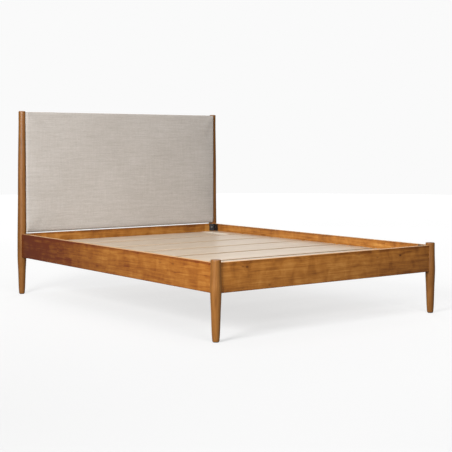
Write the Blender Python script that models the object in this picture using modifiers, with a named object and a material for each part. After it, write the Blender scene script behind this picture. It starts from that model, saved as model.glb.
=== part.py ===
"""Queen-size wooden bed frame: round tapered legs, plain rails, slat deck and upholstered headboard.

Metres, +Z up. The origin is on the floor at the middle of the frame, the head end is at +Y and the
foot end at -Y. Left and right are seen from the foot end, so right is +X.
"""
import math

import bmesh
import bpy
from mathutils import Matrix, Vector

# ---- what the frame is built round --------------------------------------------------------------
MATTRESS_WIDTH = 1.524
MATTRESS_LENGTH = 2.032
SIDE_PLAY = 0.013            # mattress side to side rail
LENGTH_PLAY = 0.091          # spare length between the foot rail and the headboard pad
FIT_GAP = 0.0003             # between pieces that touch on the real frame

# ---- rails --------------------------------------------------------------------------------------
RAIL_THICKNESS = 0.025
RAIL_HEIGHT = 0.155
RAIL_BOTTOM = 0.245          # floor to the underside of the rails
RAIL_OVERHANG = 0.014        # outer face of a rail beyond the centre line of the legs
RAIL_EASE = 0.003            # rounding of the long edges
RAIL_END_BITE = 0.005        # how far a rail end runs into the leg before it is coped

TENON_THICKNESS = 0.012
TENON_LENGTH = 0.024         # measured from the face of the leg
TENON_LOWER_SHOULDER = 0.020
TENON_UPPER_SHOULDER = 0.055

# ---- legs and headboard posts -------------------------------------------------------------------
FOOT_LEG_TOP = 0.415
POST_TOP = 1.216
LEG_TOP_EASE = 0.004
LEG_CROWN = 0.001            # rise of the top of a leg at its middle
LEG_FLOOR_EASE = 0.0015
SWELL_RADIUS = 0.029         # the thickest place, at the underside of the rails
SWELL_RUN = 0.010            # how far the thickest place carries on
FOOT_LEG_SHOULDER_SHARE = 0.6    # of the rail height
LEG_FLOOR_RADIUS = 0.018
LOWER_LEG_RADII = ((0.040, 0.0210), (0.100, 0.0232), (0.165, 0.0254))
FOOT_LEG_SHOULDER_RADIUS = 0.0272
FOOT_LEG_TOP_RADIUS = 0.0268
POST_RADII_ABOVE_RAIL = ((0.200, 0.0270), (0.430, 0.0263), (0.600, 0.0242))
POST_TOP_RADIUS = 0.0213

GLIDE_RADIUS = 0.015
GLIDE_THICKNESS = 0.003
GLIDE_EASE = 0.0008
GLIDE_NAIL_RADIUS = 0.0012
GLIDE_NAIL_LENGTH = 0.012

# ---- slat deck ----------------------------------------------------------------------------------
SLAT_COUNT = 6
SLAT_GAP = 0.032
SLAT_THICKNESS = 0.016
SLAT_EASE = 0.0015
SOFTWOOD_EASE = 0.0015       # edges of the ledgers and the beam
DECK_DROP = 0.051            # top of the slats below the top of the rails
DECK_FOOT_SPACE = 0.115      # foot rail to the first slat
DECK_HEAD_SPACE = 0.072      # head rail to the last slat
SLAT_END_PLAY = 0.009        # slat end to side rail

LEDGER_WIDTH = 0.022
LEDGER_HEIGHT = 0.032
LEDGER_END_SPACE = 0.006     # ledger end to the corner bracket

BEAM_WIDTH = 0.038
BEAM_HEIGHT = 0.060
BEAM_END_SPACE = 0.002
HANGER_SHEET = 0.0025
HANGER_PLATE_WIDTH = 0.096
HANGER_REACH = 0.034         # how much of the beam end the hanger carries
HANGER_CHEEK_HEIGHT = 0.042
HANGER_SCREW_SPACING = 0.070

CENTRE_LEG_TOP_RADIUS = 0.017
CENTRE_LEG_FOOT_RADIUS = 0.014
CENTRE_LEG_BOTTOM = 0.028
CENTRE_LEG_FOOT_EASE = 0.002
SPIGOT_RADIUS = 0.008
SPIGOT_LENGTH = 0.024

LEVELLER_PAD_RADIUS = 0.0155
LEVELLER_PAD_HEIGHT = 0.010
LEVELLER_PAD_EASE = 0.003
LEVELLER_HEX_ACROSS = 0.017
LEVELLER_HEX_HEIGHT = 0.006
STUD_RADIUS = 0.005
STUD_TOP = 0.056
STUD_TIP_SPACE = 0.003       # above the stud when it is wound right in
LEVELLER_TRAVEL_UP = 0.010

# ---- corner hardware ----------------------------------------------------------------------------
BRACKET_SHEET = 0.003
BRACKET_HEIGHT = 0.050
BRACKET_TOP_DROP = 0.002     # below the top of the rails
BRACKET_LEG_SPACE = 0.034    # leg centre to where the facet leaves the side rail
BRACKET_WING_LENGTH = 0.045
HOOK_DEPTH = 0.008           # bent ends of the bracket, in saw kerfs in the rails
KERF_SPACE = 0.0006

BOLT_RADIUS = 0.004
BOLT_TIP_EASE = 0.002
BOLT_TAIL_EASE = 0.0008
BOLT_IN_LEG = 0.026
BOLT_BEYOND_NUT = 0.004
NUT_ACROSS = 0.013
NUT_HEIGHT = 0.0065
NUT_FLANGE_RADIUS = 0.0088
NUT_FLANGE_THICKNESS = 0.0016

SCREW_RADIUS = 0.0021
SCREW_HEAD_RADIUS = 0.0042
SCREW_HEAD_HEIGHT = 0.0024
SCREW_LENGTH = 0.016
SCREW_POINT_LENGTH = 0.003
SCREW_HEAD_CROWN_RADIUS = 0.00252
SCREW_HEAD_CROWN = 0.00204
SCREW_HEAD_RIM = 0.0006

# ---- headboard panel ----------------------------------------------------------------------------
PANEL_HALF_WIDTH_PLAY = 0.001    # fabric side to the thickest place of the post
PANEL_FACE_SETBACK = 0.046       # panel face in front of the post centre line
PANEL_THICKNESS = 0.062
PANEL_RAIL_SPACE = 0.0095        # panel to head rail
PANEL_TOP_DROP = 0.0035          # panel top below the top of the posts
COVER_THICKNESS = 0.0015
COVER_EDGE_RADIUS = 0.016
FOAM_THICKNESS = 0.025
BACKING_THICKNESS = 0.009
PANEL_FRAME_THICKNESS = 0.023
PANEL_FRAME_WIDTH = 0.045
PANEL_FRAME_EASE = 0.001
DUST_COVER_THICKNESS = 0.001
DUST_COVER_MARGIN = 0.020

DOWEL_RADIUS = 0.005
DOWEL_IN_POST = 0.018
DOWEL_IN_PANEL = 0.032
DOWEL_HEIGHTS = (0.500, 1.100)

TIP_EASE = 0.001             # small rounding on turned ends
MERGE_DISTANCE = 0.00005
CUT_OVERRUN = 0.010          # how far a cutting shape runs past the face that it opens
BORE_OVERRUN = 0.002

TURN_STEPS = 24
SMALL_TURN_STEPS = 12

# ---- places worked out from the sizes above -----------------------------------------------------
INNER_HALF_WIDTH = MATTRESS_WIDTH / 2 + SIDE_PLAY
LEG_X = INNER_HALF_WIDTH + RAIL_THICKNESS - RAIL_OVERHANG
INNER_FACE_FROM_LEG = RAIL_THICKNESS - RAIL_OVERHANG
LEG_Y = (MATTRESS_LENGTH + LENGTH_PLAY + INNER_FACE_FROM_LEG + PANEL_FACE_SETBACK) / 2
INNER_HALF_LENGTH = LEG_Y - INNER_FACE_FROM_LEG
RAIL_TOP = RAIL_BOTTOM + RAIL_HEIGHT
SLAT_TOP = RAIL_TOP - DECK_DROP
SLAT_BOTTOM = SLAT_TOP - SLAT_THICKNESS
SUPPORT_TOP = SLAT_BOTTOM - FIT_GAP
GLIDE_TOP = GLIDE_THICKNESS + FIT_GAP
BRACKET_TOP = RAIL_TOP - BRACKET_TOP_DROP
BRACKET_BOTTOM = BRACKET_TOP - BRACKET_HEIGHT
BRACKET_MIDDLE = (BRACKET_TOP + BRACKET_BOTTOM) / 2
WING_END_Y = LEG_Y - BRACKET_LEG_SPACE - BRACKET_WING_LENGTH
POST_WIDEST = max(SWELL_RADIUS, *(radius for rise, radius in POST_RADII_ABOVE_RAIL))
SIDES = {"left": -1, "right": 1}
ENDS = {"foot": -1, "head": 1}


# ---- materials and collections ------------------------------------------------------------------
def make_material(name, colour, roughness, metallic=0.0):
    material = bpy.data.materials.new(name)
    material.use_nodes = True
    shader = material.node_tree.nodes["Principled BSDF"]
    shader.inputs["Base Color"].default_value = (*colour, 1.0)
    shader.inputs["Roughness"].default_value = roughness
    shader.inputs["Metallic"].default_value = metallic
    material.diffuse_color = (*colour, 1.0)
    return material


def make_collection(name):
    collection = bpy.data.collections.new(name)
    bpy.context.scene.collection.children.link(collection)
    return collection


def clear_scene():
    for thing in list(bpy.data.objects):
        bpy.data.objects.remove(thing, do_unlink=True)


# ---- shape tools --------------------------------------------------------------------------------
def add_object(name, mesh, collection, material=None, smooth=False):
    thing = bpy.data.objects.new(name, mesh)
    collection.objects.link(thing)
    if material:
        mesh.materials.append(material)
    if smooth:
        mesh.shade_smooth()
        mesh.set_sharp_from_angle(angle=math.radians(40))
    return thing


def make_cutter(thing):
    thing.hide_render = True
    thing.display_type = "WIRE"
    return thing


def box_mesh(name, size):
    """A box of the given size about its own centre."""
    mesh = bpy.data.meshes.new(name)
    shape = bmesh.new()
    bmesh.ops.create_cube(shape, size=1.0)
    bmesh.ops.scale(shape, vec=size, verts=shape.verts)
    shape.to_mesh(mesh)
    shape.free()
    return mesh


def add_box(name, low, high, collection, material=None, ease=0.0, segments=1):
    """A box between two corners, with its origin at its centre."""
    low = Vector(low)
    high = Vector(high)
    thing = add_object(name, box_mesh(name, high - low), collection, material)
    thing.location = (low + high) / 2
    if ease:
        bevel = thing.modifiers.new("eased edges", "BEVEL")
        bevel.width = ease
        bevel.segments = segments
    return thing


def add_turned(name, profile, collection, material=None, steps=TURN_STEPS):
    """Turn a profile of (radius, height) points, listed top to bottom, about Z."""
    mesh = bpy.data.meshes.new(name)
    points = [(radius, 0.0, height) for radius, height in profile]
    edges = [(i, i + 1) for i in range(len(points) - 1)]
    mesh.from_pydata(points, edges, [])
    thing = add_object(name, mesh, collection, material)
    screw = thing.modifiers.new("turned", "SCREW")
    screw.steps = steps
    screw.render_steps = steps
    screw.use_merge_vertices = True
    screw.merge_threshold = MERGE_DISTANCE
    screw.use_smooth_shade = True
    return thing


def add_hex(name, across, height, collection):
    """A hexagonal prism standing on its origin."""
    mesh = bpy.data.meshes.new(name)
    shape = bmesh.new()
    radius = across / 2 / math.cos(math.pi / 6)
    raise_up = Matrix.Translation((0.0, 0.0, height / 2))
    bmesh.ops.create_cone(shape, cap_ends=True, segments=6, radius1=radius, radius2=radius,
                          depth=height, matrix=raise_up)
    shape.to_mesh(mesh)
    shape.free()
    return add_object(name, mesh, collection)


def change_with(thing, tool, operation):
    boolean = thing.modifiers.new(operation.lower() + " " + tool.name, "BOOLEAN")
    boolean.operation = operation
    boolean.solver = "EXACT"
    boolean.object = tool


def cut(thing, cutter):
    change_with(thing, cutter, "DIFFERENCE")


def join(thing, addition):
    change_with(thing, addition, "UNION")


def point_along(thing, direction):
    """Turn an object so that its own Z runs along the direction."""
    thing.rotation_euler = Vector(direction).to_track_quat("Z", "Y").to_euler()


def add_bore(name, radius, start, direction, length, cutters):
    """A round cutter that starts at a point and runs along a direction."""
    profile = ((0.0, length), (radius, length), (radius, 0.0), (0.0, 0.0))
    bore = make_cutter(add_turned(name, profile, cutters, steps=SMALL_TURN_STEPS))
    bore.location = start
    point_along(bore, direction)
    return bore


def smooth_outline(stations, pieces=2):
    """A Catmull-Rom curve through (height, radius) stations, bottom to top."""
    ends = [stations[0]] + list(stations) + [stations[-1]]
    outline = []
    for i in range(1, len(ends) - 2):
        before, start, stop, after = (Vector(ends[i + shift]) for shift in (-1, 0, 1, 2))
        for step in range(pieces):
            t = step / pieces
            bend = (2 * start + (stop - before) * t
                    + (2 * before - 5 * start + 4 * stop - after) * t ** 2
                    + (3 * start - before - 3 * stop + after) * t ** 3) / 2
            outline.append(tuple(bend))
    outline.append(tuple(stations[-1]))
    return outline


# ---- legs and posts -----------------------------------------------------------------------------
def leg_stations(top):
    """Heights and radii of a leg that ends at the given height."""
    lower = [(GLIDE_TOP + LEG_FLOOR_EASE, LEG_FLOOR_RADIUS), *LOWER_LEG_RADII]
    if top > RAIL_TOP + POST_RADII_ABOVE_RAIL[-1][0]:
        swell = [(RAIL_BOTTOM, SWELL_RADIUS), (RAIL_TOP + SWELL_RUN, SWELL_RADIUS)]
        upper = [(RAIL_TOP + rise, radius) for rise, radius in POST_RADII_ABOVE_RAIL]
        top_radius = POST_TOP_RADIUS
    else:
        swell = [(RAIL_BOTTOM + SWELL_RUN, SWELL_RADIUS)]
        upper = [(RAIL_BOTTOM + FOOT_LEG_SHOULDER_SHARE * RAIL_HEIGHT, FOOT_LEG_SHOULDER_RADIUS)]
        top_radius = FOOT_LEG_TOP_RADIUS
    return lower + swell + upper + [(top - LEG_TOP_EASE, top_radius)]


def leg_profile(top, extra=0.0):
    """Turning profile of a leg, top to bottom; extra adds clearance all round for a cutter."""
    stations = leg_stations(top)
    outline = [(radius + extra, height) for height, radius in reversed(smooth_outline(stations))]
    top_radius = outline[0][0]
    rim = []
    for step in range(1, 3):
        angle = step * math.pi / 4
        rim.append((top_radius - LEG_TOP_EASE * (1 - math.cos(angle)),
                    top - LEG_TOP_EASE * (1 - math.sin(angle))))
    crown = [(0.0, top + LEG_CROWN), (top_radius / 2, top + LEG_CROWN / 2)]
    foot_radius = LEG_FLOOR_RADIUS + extra
    foot = [(foot_radius - LEG_FLOOR_EASE, GLIDE_TOP), (0.0, GLIDE_TOP)]
    return crown + rim[::-1] + outline + foot


def add_leg(name, x, y, top, build):
    leg = add_turned(name, leg_profile(top), build["parts"], build["wood"])
    leg.location = (x, y, 0.0)
    nail = add_bore(name + " nail hole", GLIDE_NAIL_RADIUS + FIT_GAP, (x, y, 0.0), (0, 0, 1),
                    GLIDE_TOP + GLIDE_NAIL_LENGTH + FIT_GAP, build["cutters"])
    cut(leg, nail)
    return leg


def add_leg_clearance(name, x, y, top, build):
    """The space that a leg takes out of the rail ends."""
    space = make_cutter(add_turned(name, leg_profile(top, FIT_GAP), build["cutters"]))
    space.location = (x, y, 0.0)
    return space


def add_glide(name, x, y, build):
    nail_top = GLIDE_THICKNESS + GLIDE_NAIL_LENGTH
    profile = ((0.0, nail_top), (GLIDE_NAIL_RADIUS, nail_top - TIP_EASE),
               (GLIDE_NAIL_RADIUS, GLIDE_THICKNESS), (GLIDE_RADIUS - GLIDE_EASE, GLIDE_THICKNESS),
               (GLIDE_RADIUS, GLIDE_THICKNESS - GLIDE_EASE), (GLIDE_RADIUS, TIP_EASE),
               (GLIDE_RADIUS - TIP_EASE, 0.0), (0.0, 0.0))
    glide = add_turned(name, profile, build["parts"], build["plastic"], SMALL_TURN_STEPS)
    glide.location = (x, y, 0.0)


def build_legs(build):
    for end, end_sign in ENDS.items():
        for side, side_sign in SIDES.items():
            x = side_sign * LEG_X
            y = end_sign * LEG_Y
            if end == "head":
                name = "headboard_post_" + side
                top = POST_TOP
            else:
                name = "foot_leg_" + side
                top = FOOT_LEG_TOP
            build["legs"][end, side] = add_leg(name, x, y, top, build)
            build["clearances"][end, side] = add_leg_clearance(name + " clearance", x, y, top, build)
            add_glide("leg_glide_" + end + "_" + side, x, y, build)


# ---- rails --------------------------------------------------------------------------------------
def cut_tenon(rail, end, side, build):
    """Join a tenon to the rail's end and cut its mortise in the leg."""
    side_sign = SIDES[side]
    middle_y = ENDS[end] * (LEG_Y + RAIL_OVERHANG - RAIL_THICKNESS / 2)
    root = LEG_X - SWELL_RADIUS - CUT_OVERRUN
    tip = LEG_X - SWELL_RADIUS + TENON_LENGTH
    bottom = RAIL_BOTTOM + TENON_LOWER_SHOULDER
    top = RAIL_TOP - TENON_UPPER_SHOULDER
    name = rail.name + " " + side + " tenon"
    for kind, space in (("", 0.0), (" mortise", FIT_GAP)):
        xs = sorted((side_sign * root, side_sign * (tip + space)))
        low = (xs[0], middle_y - TENON_THICKNESS / 2 - space, bottom - space)
        high = (xs[1], middle_y + TENON_THICKNESS / 2 + space, top + space)
        tool = make_cutter(add_box(name + kind, low, high, build["cutters"]))
        if kind:
            cut(build["legs"][end, side], tool)
        else:
            join(rail, tool)


def build_end_rails(build):
    for end, end_sign in ENDS.items():
        ys = sorted((end_sign * INNER_HALF_LENGTH, end_sign * (LEG_Y + RAIL_OVERHANG)))
        half = LEG_X - SWELL_RADIUS + RAIL_END_BITE
        rail = add_box(end + "_rail", (-half, ys[0], RAIL_BOTTOM), (half, ys[1], RAIL_TOP),
                       build["parts"], build["wood"], RAIL_EASE)
        for side in SIDES:
            cut(rail, build["clearances"][end, side])
            cut_tenon(rail, end, side, build)
        build["rails"][end] = rail


def build_side_rails(build):
    for side, side_sign in SIDES.items():
        xs = sorted((side_sign * INNER_HALF_WIDTH, side_sign * (LEG_X + RAIL_OVERHANG)))
        half = LEG_Y - SWELL_RADIUS + RAIL_END_BITE
        rail = add_box("side_rail_" + side, (xs[0], -half, RAIL_BOTTOM), (xs[1], half, RAIL_TOP),
                       build["parts"], build["wood"], RAIL_EASE)
        for end in ENDS:
            cut(rail, build["clearances"][end, side])
        build["rails"][side] = rail


# ---- slat deck ----------------------------------------------------------------------------------
def build_slats(build):
    start = -INNER_HALF_LENGTH + DECK_FOOT_SPACE
    stop = INNER_HALF_LENGTH - DECK_HEAD_SPACE
    width = (stop - start - (SLAT_COUNT - 1) * SLAT_GAP) / SLAT_COUNT
    half_length = INNER_HALF_WIDTH - SLAT_END_PLAY
    for number in range(SLAT_COUNT):
        near = start + number * (width + SLAT_GAP)
        add_box("slat_%d" % (number + 1), (-half_length, near, SLAT_BOTTOM),
                (half_length, near + width, SLAT_TOP), build["parts"], build["slat_wood"], SLAT_EASE)


def build_ledgers(build):
    half_length = WING_END_Y - BRACKET_SHEET - LEDGER_END_SPACE
    for side, side_sign in SIDES.items():
        outer = INNER_HALF_WIDTH - FIT_GAP
        xs = sorted((side_sign * outer, side_sign * (outer - LEDGER_WIDTH)))
        add_box("slat_ledger_" + side, (xs[0], -half_length, SUPPORT_TOP - LEDGER_HEIGHT),
                (xs[1], half_length, SUPPORT_TOP), build["parts"], build["plain_wood"], SOFTWOOD_EASE)


def build_centre_beam(build):
    beam_bottom = SUPPORT_TOP - BEAM_HEIGHT
    half_length = INNER_HALF_LENGTH - HANGER_SHEET - 2 * FIT_GAP - BEAM_END_SPACE
    half_width = BEAM_WIDTH / 2
    beam = add_box("centre_beam", (-half_width, -half_length, beam_bottom),
                   (half_width, half_length, SUPPORT_TOP), build["parts"], build["plain_wood"], SOFTWOOD_EASE)
    socket = add_bore("centre leg socket", SPIGOT_RADIUS + FIT_GAP, (0, 0, beam_bottom - CUT_OVERRUN),
                      (0, 0, 1), SPIGOT_LENGTH + CUT_OVERRUN + FIT_GAP, build["cutters"])
    cut(beam, socket)


def build_beam_hanger(end, build):
    """A folded steel seat for the beam's end: a back plate, a shelf and two cheeks."""
    sign = ENDS[end]
    beam_bottom = SUPPORT_TOP - BEAM_HEIGHT
    shelf_bottom = beam_bottom - FIT_GAP - HANGER_SHEET
    back = INNER_HALF_LENGTH - FIT_GAP
    seat_half_width = BEAM_WIDTH / 2 + FIT_GAP
    outer_half_width = seat_half_width + HANGER_SHEET
    cheek_top = shelf_bottom + HANGER_CHEEK_HEIGHT

    def between(x_half, near, far, bottom, top, name):
        ys = sorted((sign * near, sign * far))
        return (-x_half, ys[0], bottom), (x_half, ys[1], top), name

    low, high, name = between(HANGER_PLATE_WIDTH / 2, back, back - HANGER_SHEET, shelf_bottom,
                              cheek_top, "beam_hanger_" + end)
    hanger = add_box(name, low, high, build["parts"], build["steel"])
    low, high, name = between(outer_half_width, back - HANGER_SHEET / 2, back - HANGER_REACH,
                              shelf_bottom, cheek_top, name + " seat")
    join(hanger, make_cutter(add_box(name, low, high, build["cutters"])))
    low, high, name = between(seat_half_width, back - HANGER_SHEET, back - HANGER_REACH - CUT_OVERRUN,
                              shelf_bottom + HANGER_SHEET, cheek_top + CUT_OVERRUN, name + " space")
    cut(hanger, make_cutter(add_box(name, low, high, build["cutters"])))
    screw_height = (shelf_bottom + cheek_top) / 2
    for side, side_sign in SIDES.items():
        place = (side_sign * HANGER_SCREW_SPACING / 2, sign * (back - HANGER_SHEET), screw_height)
        build_screw("hanger_screw_%s_%s" % (end, side), place, (0, -sign, 0),
                    (hanger, build["rails"][end]), build)


def build_centre_leg(build):
    """The turned leg under the beam, with a spigot up into it and a screwed levelling foot."""
    beam_bottom = SUPPORT_TOP - BEAM_HEIGHT
    top = beam_bottom - FIT_GAP
    spigot_top = beam_bottom + SPIGOT_LENGTH
    profile = ((0.0, spigot_top), (SPIGOT_RADIUS - TIP_EASE, spigot_top),
               (SPIGOT_RADIUS, spigot_top - TIP_EASE), (SPIGOT_RADIUS, top),
               (CENTRE_LEG_TOP_RADIUS - TIP_EASE, top), (CENTRE_LEG_TOP_RADIUS, top - TIP_EASE),
               (CENTRE_LEG_FOOT_RADIUS, CENTRE_LEG_BOTTOM + CENTRE_LEG_FOOT_EASE),
               (CENTRE_LEG_FOOT_RADIUS - CENTRE_LEG_FOOT_EASE, CENTRE_LEG_BOTTOM), (0.0, CENTRE_LEG_BOTTOM))
    leg = add_turned("centre_leg", profile, build["parts"], build["wood"])
    hole_length = STUD_TOP + LEVELLER_TRAVEL_UP + STUD_TIP_SPACE - CENTRE_LEG_BOTTOM
    hole = add_bore("stud hole", STUD_RADIUS + FIT_GAP, (0, 0, CENTRE_LEG_BOTTOM - CUT_OVERRUN),
                    (0, 0, 1), hole_length + CUT_OVERRUN, build["cutters"])
    cut(leg, hole)

    hex_top = LEVELLER_PAD_HEIGHT + LEVELLER_HEX_HEIGHT
    profile = ((0.0, STUD_TOP), (STUD_RADIUS - TIP_EASE, STUD_TOP), (STUD_RADIUS, STUD_TOP - TIP_EASE),
               (STUD_RADIUS, hex_top - TIP_EASE), (STUD_RADIUS, LEVELLER_PAD_HEIGHT),
               (LEVELLER_PAD_RADIUS - LEVELLER_PAD_EASE, LEVELLER_PAD_HEIGHT),
               (LEVELLER_PAD_RADIUS, LEVELLER_PAD_HEIGHT - LEVELLER_PAD_EASE), (LEVELLER_PAD_RADIUS, TIP_EASE),
               (LEVELLER_PAD_RADIUS - TIP_EASE, 0.0), (0.0, 0.0))
    leveller = add_turned("centre_leg_leveller", profile, build["parts"], build["plastic"])
    collar = make_cutter(add_hex("leveller collar", LEVELLER_HEX_ACROSS, LEVELLER_HEX_HEIGHT + TIP_EASE,
                                 build["cutters"]))
    collar.location = (0.0, 0.0, LEVELLER_PAD_HEIGHT - TIP_EASE)
    join(leveller, collar)


# ---- corner brackets and their fasteners --------------------------------------------------------
def build_screw(name, place, out, drilled, build):
    """A domed screw whose head sits at a place and faces out; its hole is cut in what it passes."""
    profile = ((0.0, SCREW_HEAD_HEIGHT), (SCREW_HEAD_CROWN_RADIUS, SCREW_HEAD_CROWN),
               (SCREW_HEAD_RADIUS, FIT_GAP + SCREW_HEAD_RIM), (SCREW_HEAD_RADIUS, FIT_GAP),
               (SCREW_RADIUS, FIT_GAP), (SCREW_RADIUS, SCREW_POINT_LENGTH - SCREW_LENGTH),
               (0.0, -SCREW_LENGTH))
    screw = add_turned(name, profile, build["parts"], build["bolt_steel"], SMALL_TURN_STEPS)
    screw.location = place
    point_along(screw, out)
    out = Vector(out)
    inward = -out
    start = Vector(place) + out * BORE_OVERRUN
    hole = add_bore(name + " hole", SCREW_RADIUS + FIT_GAP, start, inward,
                    SCREW_LENGTH + BORE_OVERRUN + FIT_GAP, build["cutters"])
    for thing in drilled:
        cut(thing, hole)


def bracket_path():
    """Plan of the bracket's rail side for the head right corner, from hook to hook."""
    rail_face = INNER_HALF_WIDTH - FIT_GAP
    end_face = INNER_HALF_LENGTH - FIT_GAP
    facet_side_y = LEG_Y - BRACKET_LEG_SPACE
    facet_end_x = rail_face - (end_face - facet_side_y)
    return ((facet_end_x, end_face + HOOK_DEPTH), (facet_end_x, end_face),
            (rail_face, facet_side_y), (rail_face, WING_END_Y), (rail_face + HOOK_DEPTH, WING_END_Y))


def build_bracket(end, side, build):
    """A folded steel corner brace: hooks in both rails, a 45 degree facet and a wing."""
    side_sign = SIDES[side]
    end_sign = ENDS[end]
    name = "corner_bracket_" + end + "_" + side
    path = [(x * side_sign, y * end_sign) for x, y in bracket_path()]
    mesh = bpy.data.meshes.new(name)
    shape = bmesh.new()
    lower = [shape.verts.new((x, y, BRACKET_BOTTOM)) for x, y in path]
    edges = [shape.edges.new(pair) for pair in zip(lower, lower[1:])]
    raised = bmesh.ops.extrude_edge_only(shape, edges=edges)["geom"]
    corners = [part for part in raised if isinstance(part, bmesh.types.BMVert)]
    bmesh.ops.translate(shape, vec=(0.0, 0.0, BRACKET_HEIGHT), verts=corners)
    bmesh.ops.recalc_face_normals(shape, faces=shape.faces)
    toward_leg = Vector((side_sign, end_sign, 0.0))
    facet = next(face for face in shape.faces if min(abs(face.normal.x), abs(face.normal.y)) > 0.1)
    if facet.normal.dot(toward_leg) < 0:
        bmesh.ops.reverse_faces(shape, faces=shape.faces)
    shape.to_mesh(mesh)
    shape.free()
    bracket = add_object(name, mesh, build["parts"], build["steel"])
    sheet = bracket.modifiers.new("sheet", "SOLIDIFY")
    sheet.thickness = BRACKET_SHEET
    sheet.offset = -1.0
    sheet.use_even_offset = True

    for rail_key in (end, side):
        cut_kerf(build["rails"][rail_key], rail_key, path, end_sign, side_sign, build)
    build_hanger_bolt(end, side, bracket, path, build)
    wing_y = end_sign * (WING_END_Y + BRACKET_WING_LENGTH / 2)
    place = (side_sign * (INNER_HALF_WIDTH - FIT_GAP - BRACKET_SHEET), wing_y, BRACKET_MIDDLE)
    build_screw("bracket_screw_%s_%s" % (end, side), place, (-side_sign, 0, 0),
                (bracket, build["rails"][side]), build)


def cut_kerf(rail, rail_key, path, end_sign, side_sign, build):
    """The saw kerf, open at the rail's top, that takes one hook of a bracket."""
    reach = HOOK_DEPTH + KERF_SPACE
    if rail_key in ENDS:
        hook_x = abs(path[0][0])
        xs = (hook_x - BRACKET_SHEET - KERF_SPACE, hook_x + KERF_SPACE)
        ys = (INNER_HALF_LENGTH - BORE_OVERRUN, INNER_HALF_LENGTH + reach)
    else:
        xs = (INNER_HALF_WIDTH - BORE_OVERRUN, INNER_HALF_WIDTH + reach)
        ys = (WING_END_Y - BRACKET_SHEET - KERF_SPACE, WING_END_Y + KERF_SPACE)
    xs = sorted(x * side_sign for x in xs)
    ys = sorted(y * end_sign for y in ys)
    name = "%s kerf %d %d" % (rail.name, end_sign, side_sign)
    kerf = add_box(name, (xs[0], ys[0], BRACKET_BOTTOM - KERF_SPACE),
                   (xs[1], ys[1], RAIL_TOP + CUT_OVERRUN), build["cutters"])
    cut(rail, make_cutter(kerf))


def build_hanger_bolt(end, side, bracket, path, build):
    """The bolt from the leg through the facet, with its flange nut on the inside."""
    inward = Vector((-SIDES[side], -ENDS[end], 0.0)).normalized()
    outward = -inward
    facet_middle = Vector(((path[1][0] + path[2][0]) / 2, (path[1][1] + path[2][1]) / 2,
                           BRACKET_MIDDLE))
    leg_centre = Vector((SIDES[side] * LEG_X, ENDS[end] * LEG_Y, BRACKET_MIDDLE))
    to_leg_face = (leg_centre - facet_middle).dot(outward) - SWELL_RADIUS
    nut_seat = facet_middle + inward * (BRACKET_SHEET + FIT_GAP)
    tail = nut_seat + inward * (NUT_HEIGHT + BOLT_BEYOND_NUT)
    tip = facet_middle + outward * (to_leg_face + BOLT_IN_LEG)
    length = (tip - tail).length
    profile = ((0.0, length), (BOLT_RADIUS - TIP_EASE, length), (BOLT_RADIUS, length - BOLT_TIP_EASE),
               (BOLT_RADIUS, BOLT_TAIL_EASE), (BOLT_RADIUS - BOLT_TAIL_EASE, 0.0), (0.0, 0.0))
    bolt = add_turned("hanger_bolt_%s_%s" % (end, side), profile, build["parts"],
                      build["bolt_steel"], SMALL_TURN_STEPS)
    bolt.location = tail
    point_along(bolt, outward)
    hole = add_bore(bolt.name + " hole", BOLT_RADIUS + FIT_GAP, tail - outward * BORE_OVERRUN, outward,
                    length + BORE_OVERRUN + FIT_GAP, build["cutters"])

    profile = ((0.0, NUT_FLANGE_THICKNESS), (NUT_ACROSS / 2, NUT_FLANGE_THICKNESS),
               (NUT_FLANGE_RADIUS, NUT_FLANGE_THICKNESS * 0.6), (NUT_FLANGE_RADIUS, 0.0), (0.0, 0.0))
    nut = add_turned("flange_nut_%s_%s" % (end, side), profile, build["parts"],
                     build["bolt_steel"], SMALL_TURN_STEPS)
    nut.location = nut_seat
    point_along(nut, inward)
    flats = make_cutter(add_hex(nut.name + " flats", NUT_ACROSS, NUT_HEIGHT, build["cutters"]))
    flats.location = nut_seat
    point_along(flats, inward)
    join(nut, flats)
    for thing in (nut, bracket, build["legs"][end, side]):
        cut(thing, hole)


def build_corners(build):
    for end in ENDS:
        for side in SIDES:
            build_bracket(end, side, build)


# ---- headboard panel ----------------------------------------------------------------------------
def panel_layers():
    """Front and back of each layer of the panel, front to back."""
    layers = {}
    front = LEG_Y - PANEL_FACE_SETBACK + COVER_THICKNESS + FIT_GAP
    for layer, thickness in (("foam", FOAM_THICKNESS), ("backing", BACKING_THICKNESS),
                             ("frame", PANEL_FRAME_THICKNESS), ("dust", DUST_COVER_THICKNESS)):
        layers[layer] = (front, front + thickness)
        front += thickness + FIT_GAP
    return layers


def build_cover(panel, build):
    """The fabric: five sides of a box, open at the back, with rounded edges and corners."""
    low, high = panel
    middle = (low + high) / 2
    name = "panel_fabric_cover"
    mesh = box_mesh(name, high - low)
    shape = bmesh.new()
    shape.from_mesh(mesh)
    back = [face for face in shape.faces if face.normal.y > 0.5]
    bmesh.ops.delete(shape, geom=back, context="FACES_ONLY")
    shape.to_mesh(mesh)
    shape.free()
    cover = add_object(name, mesh, build["parts"], build["fabric"])
    cover.location = middle
    bevel = cover.modifiers.new("rounded edges", "BEVEL")
    bevel.width = COVER_EDGE_RADIUS
    bevel.segments = 4
    cloth = cover.modifiers.new("cloth", "SOLIDIFY")
    cloth.thickness = COVER_THICKNESS
    cloth.offset = -1.0
    cloth.use_even_offset = True
    return cover


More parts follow.
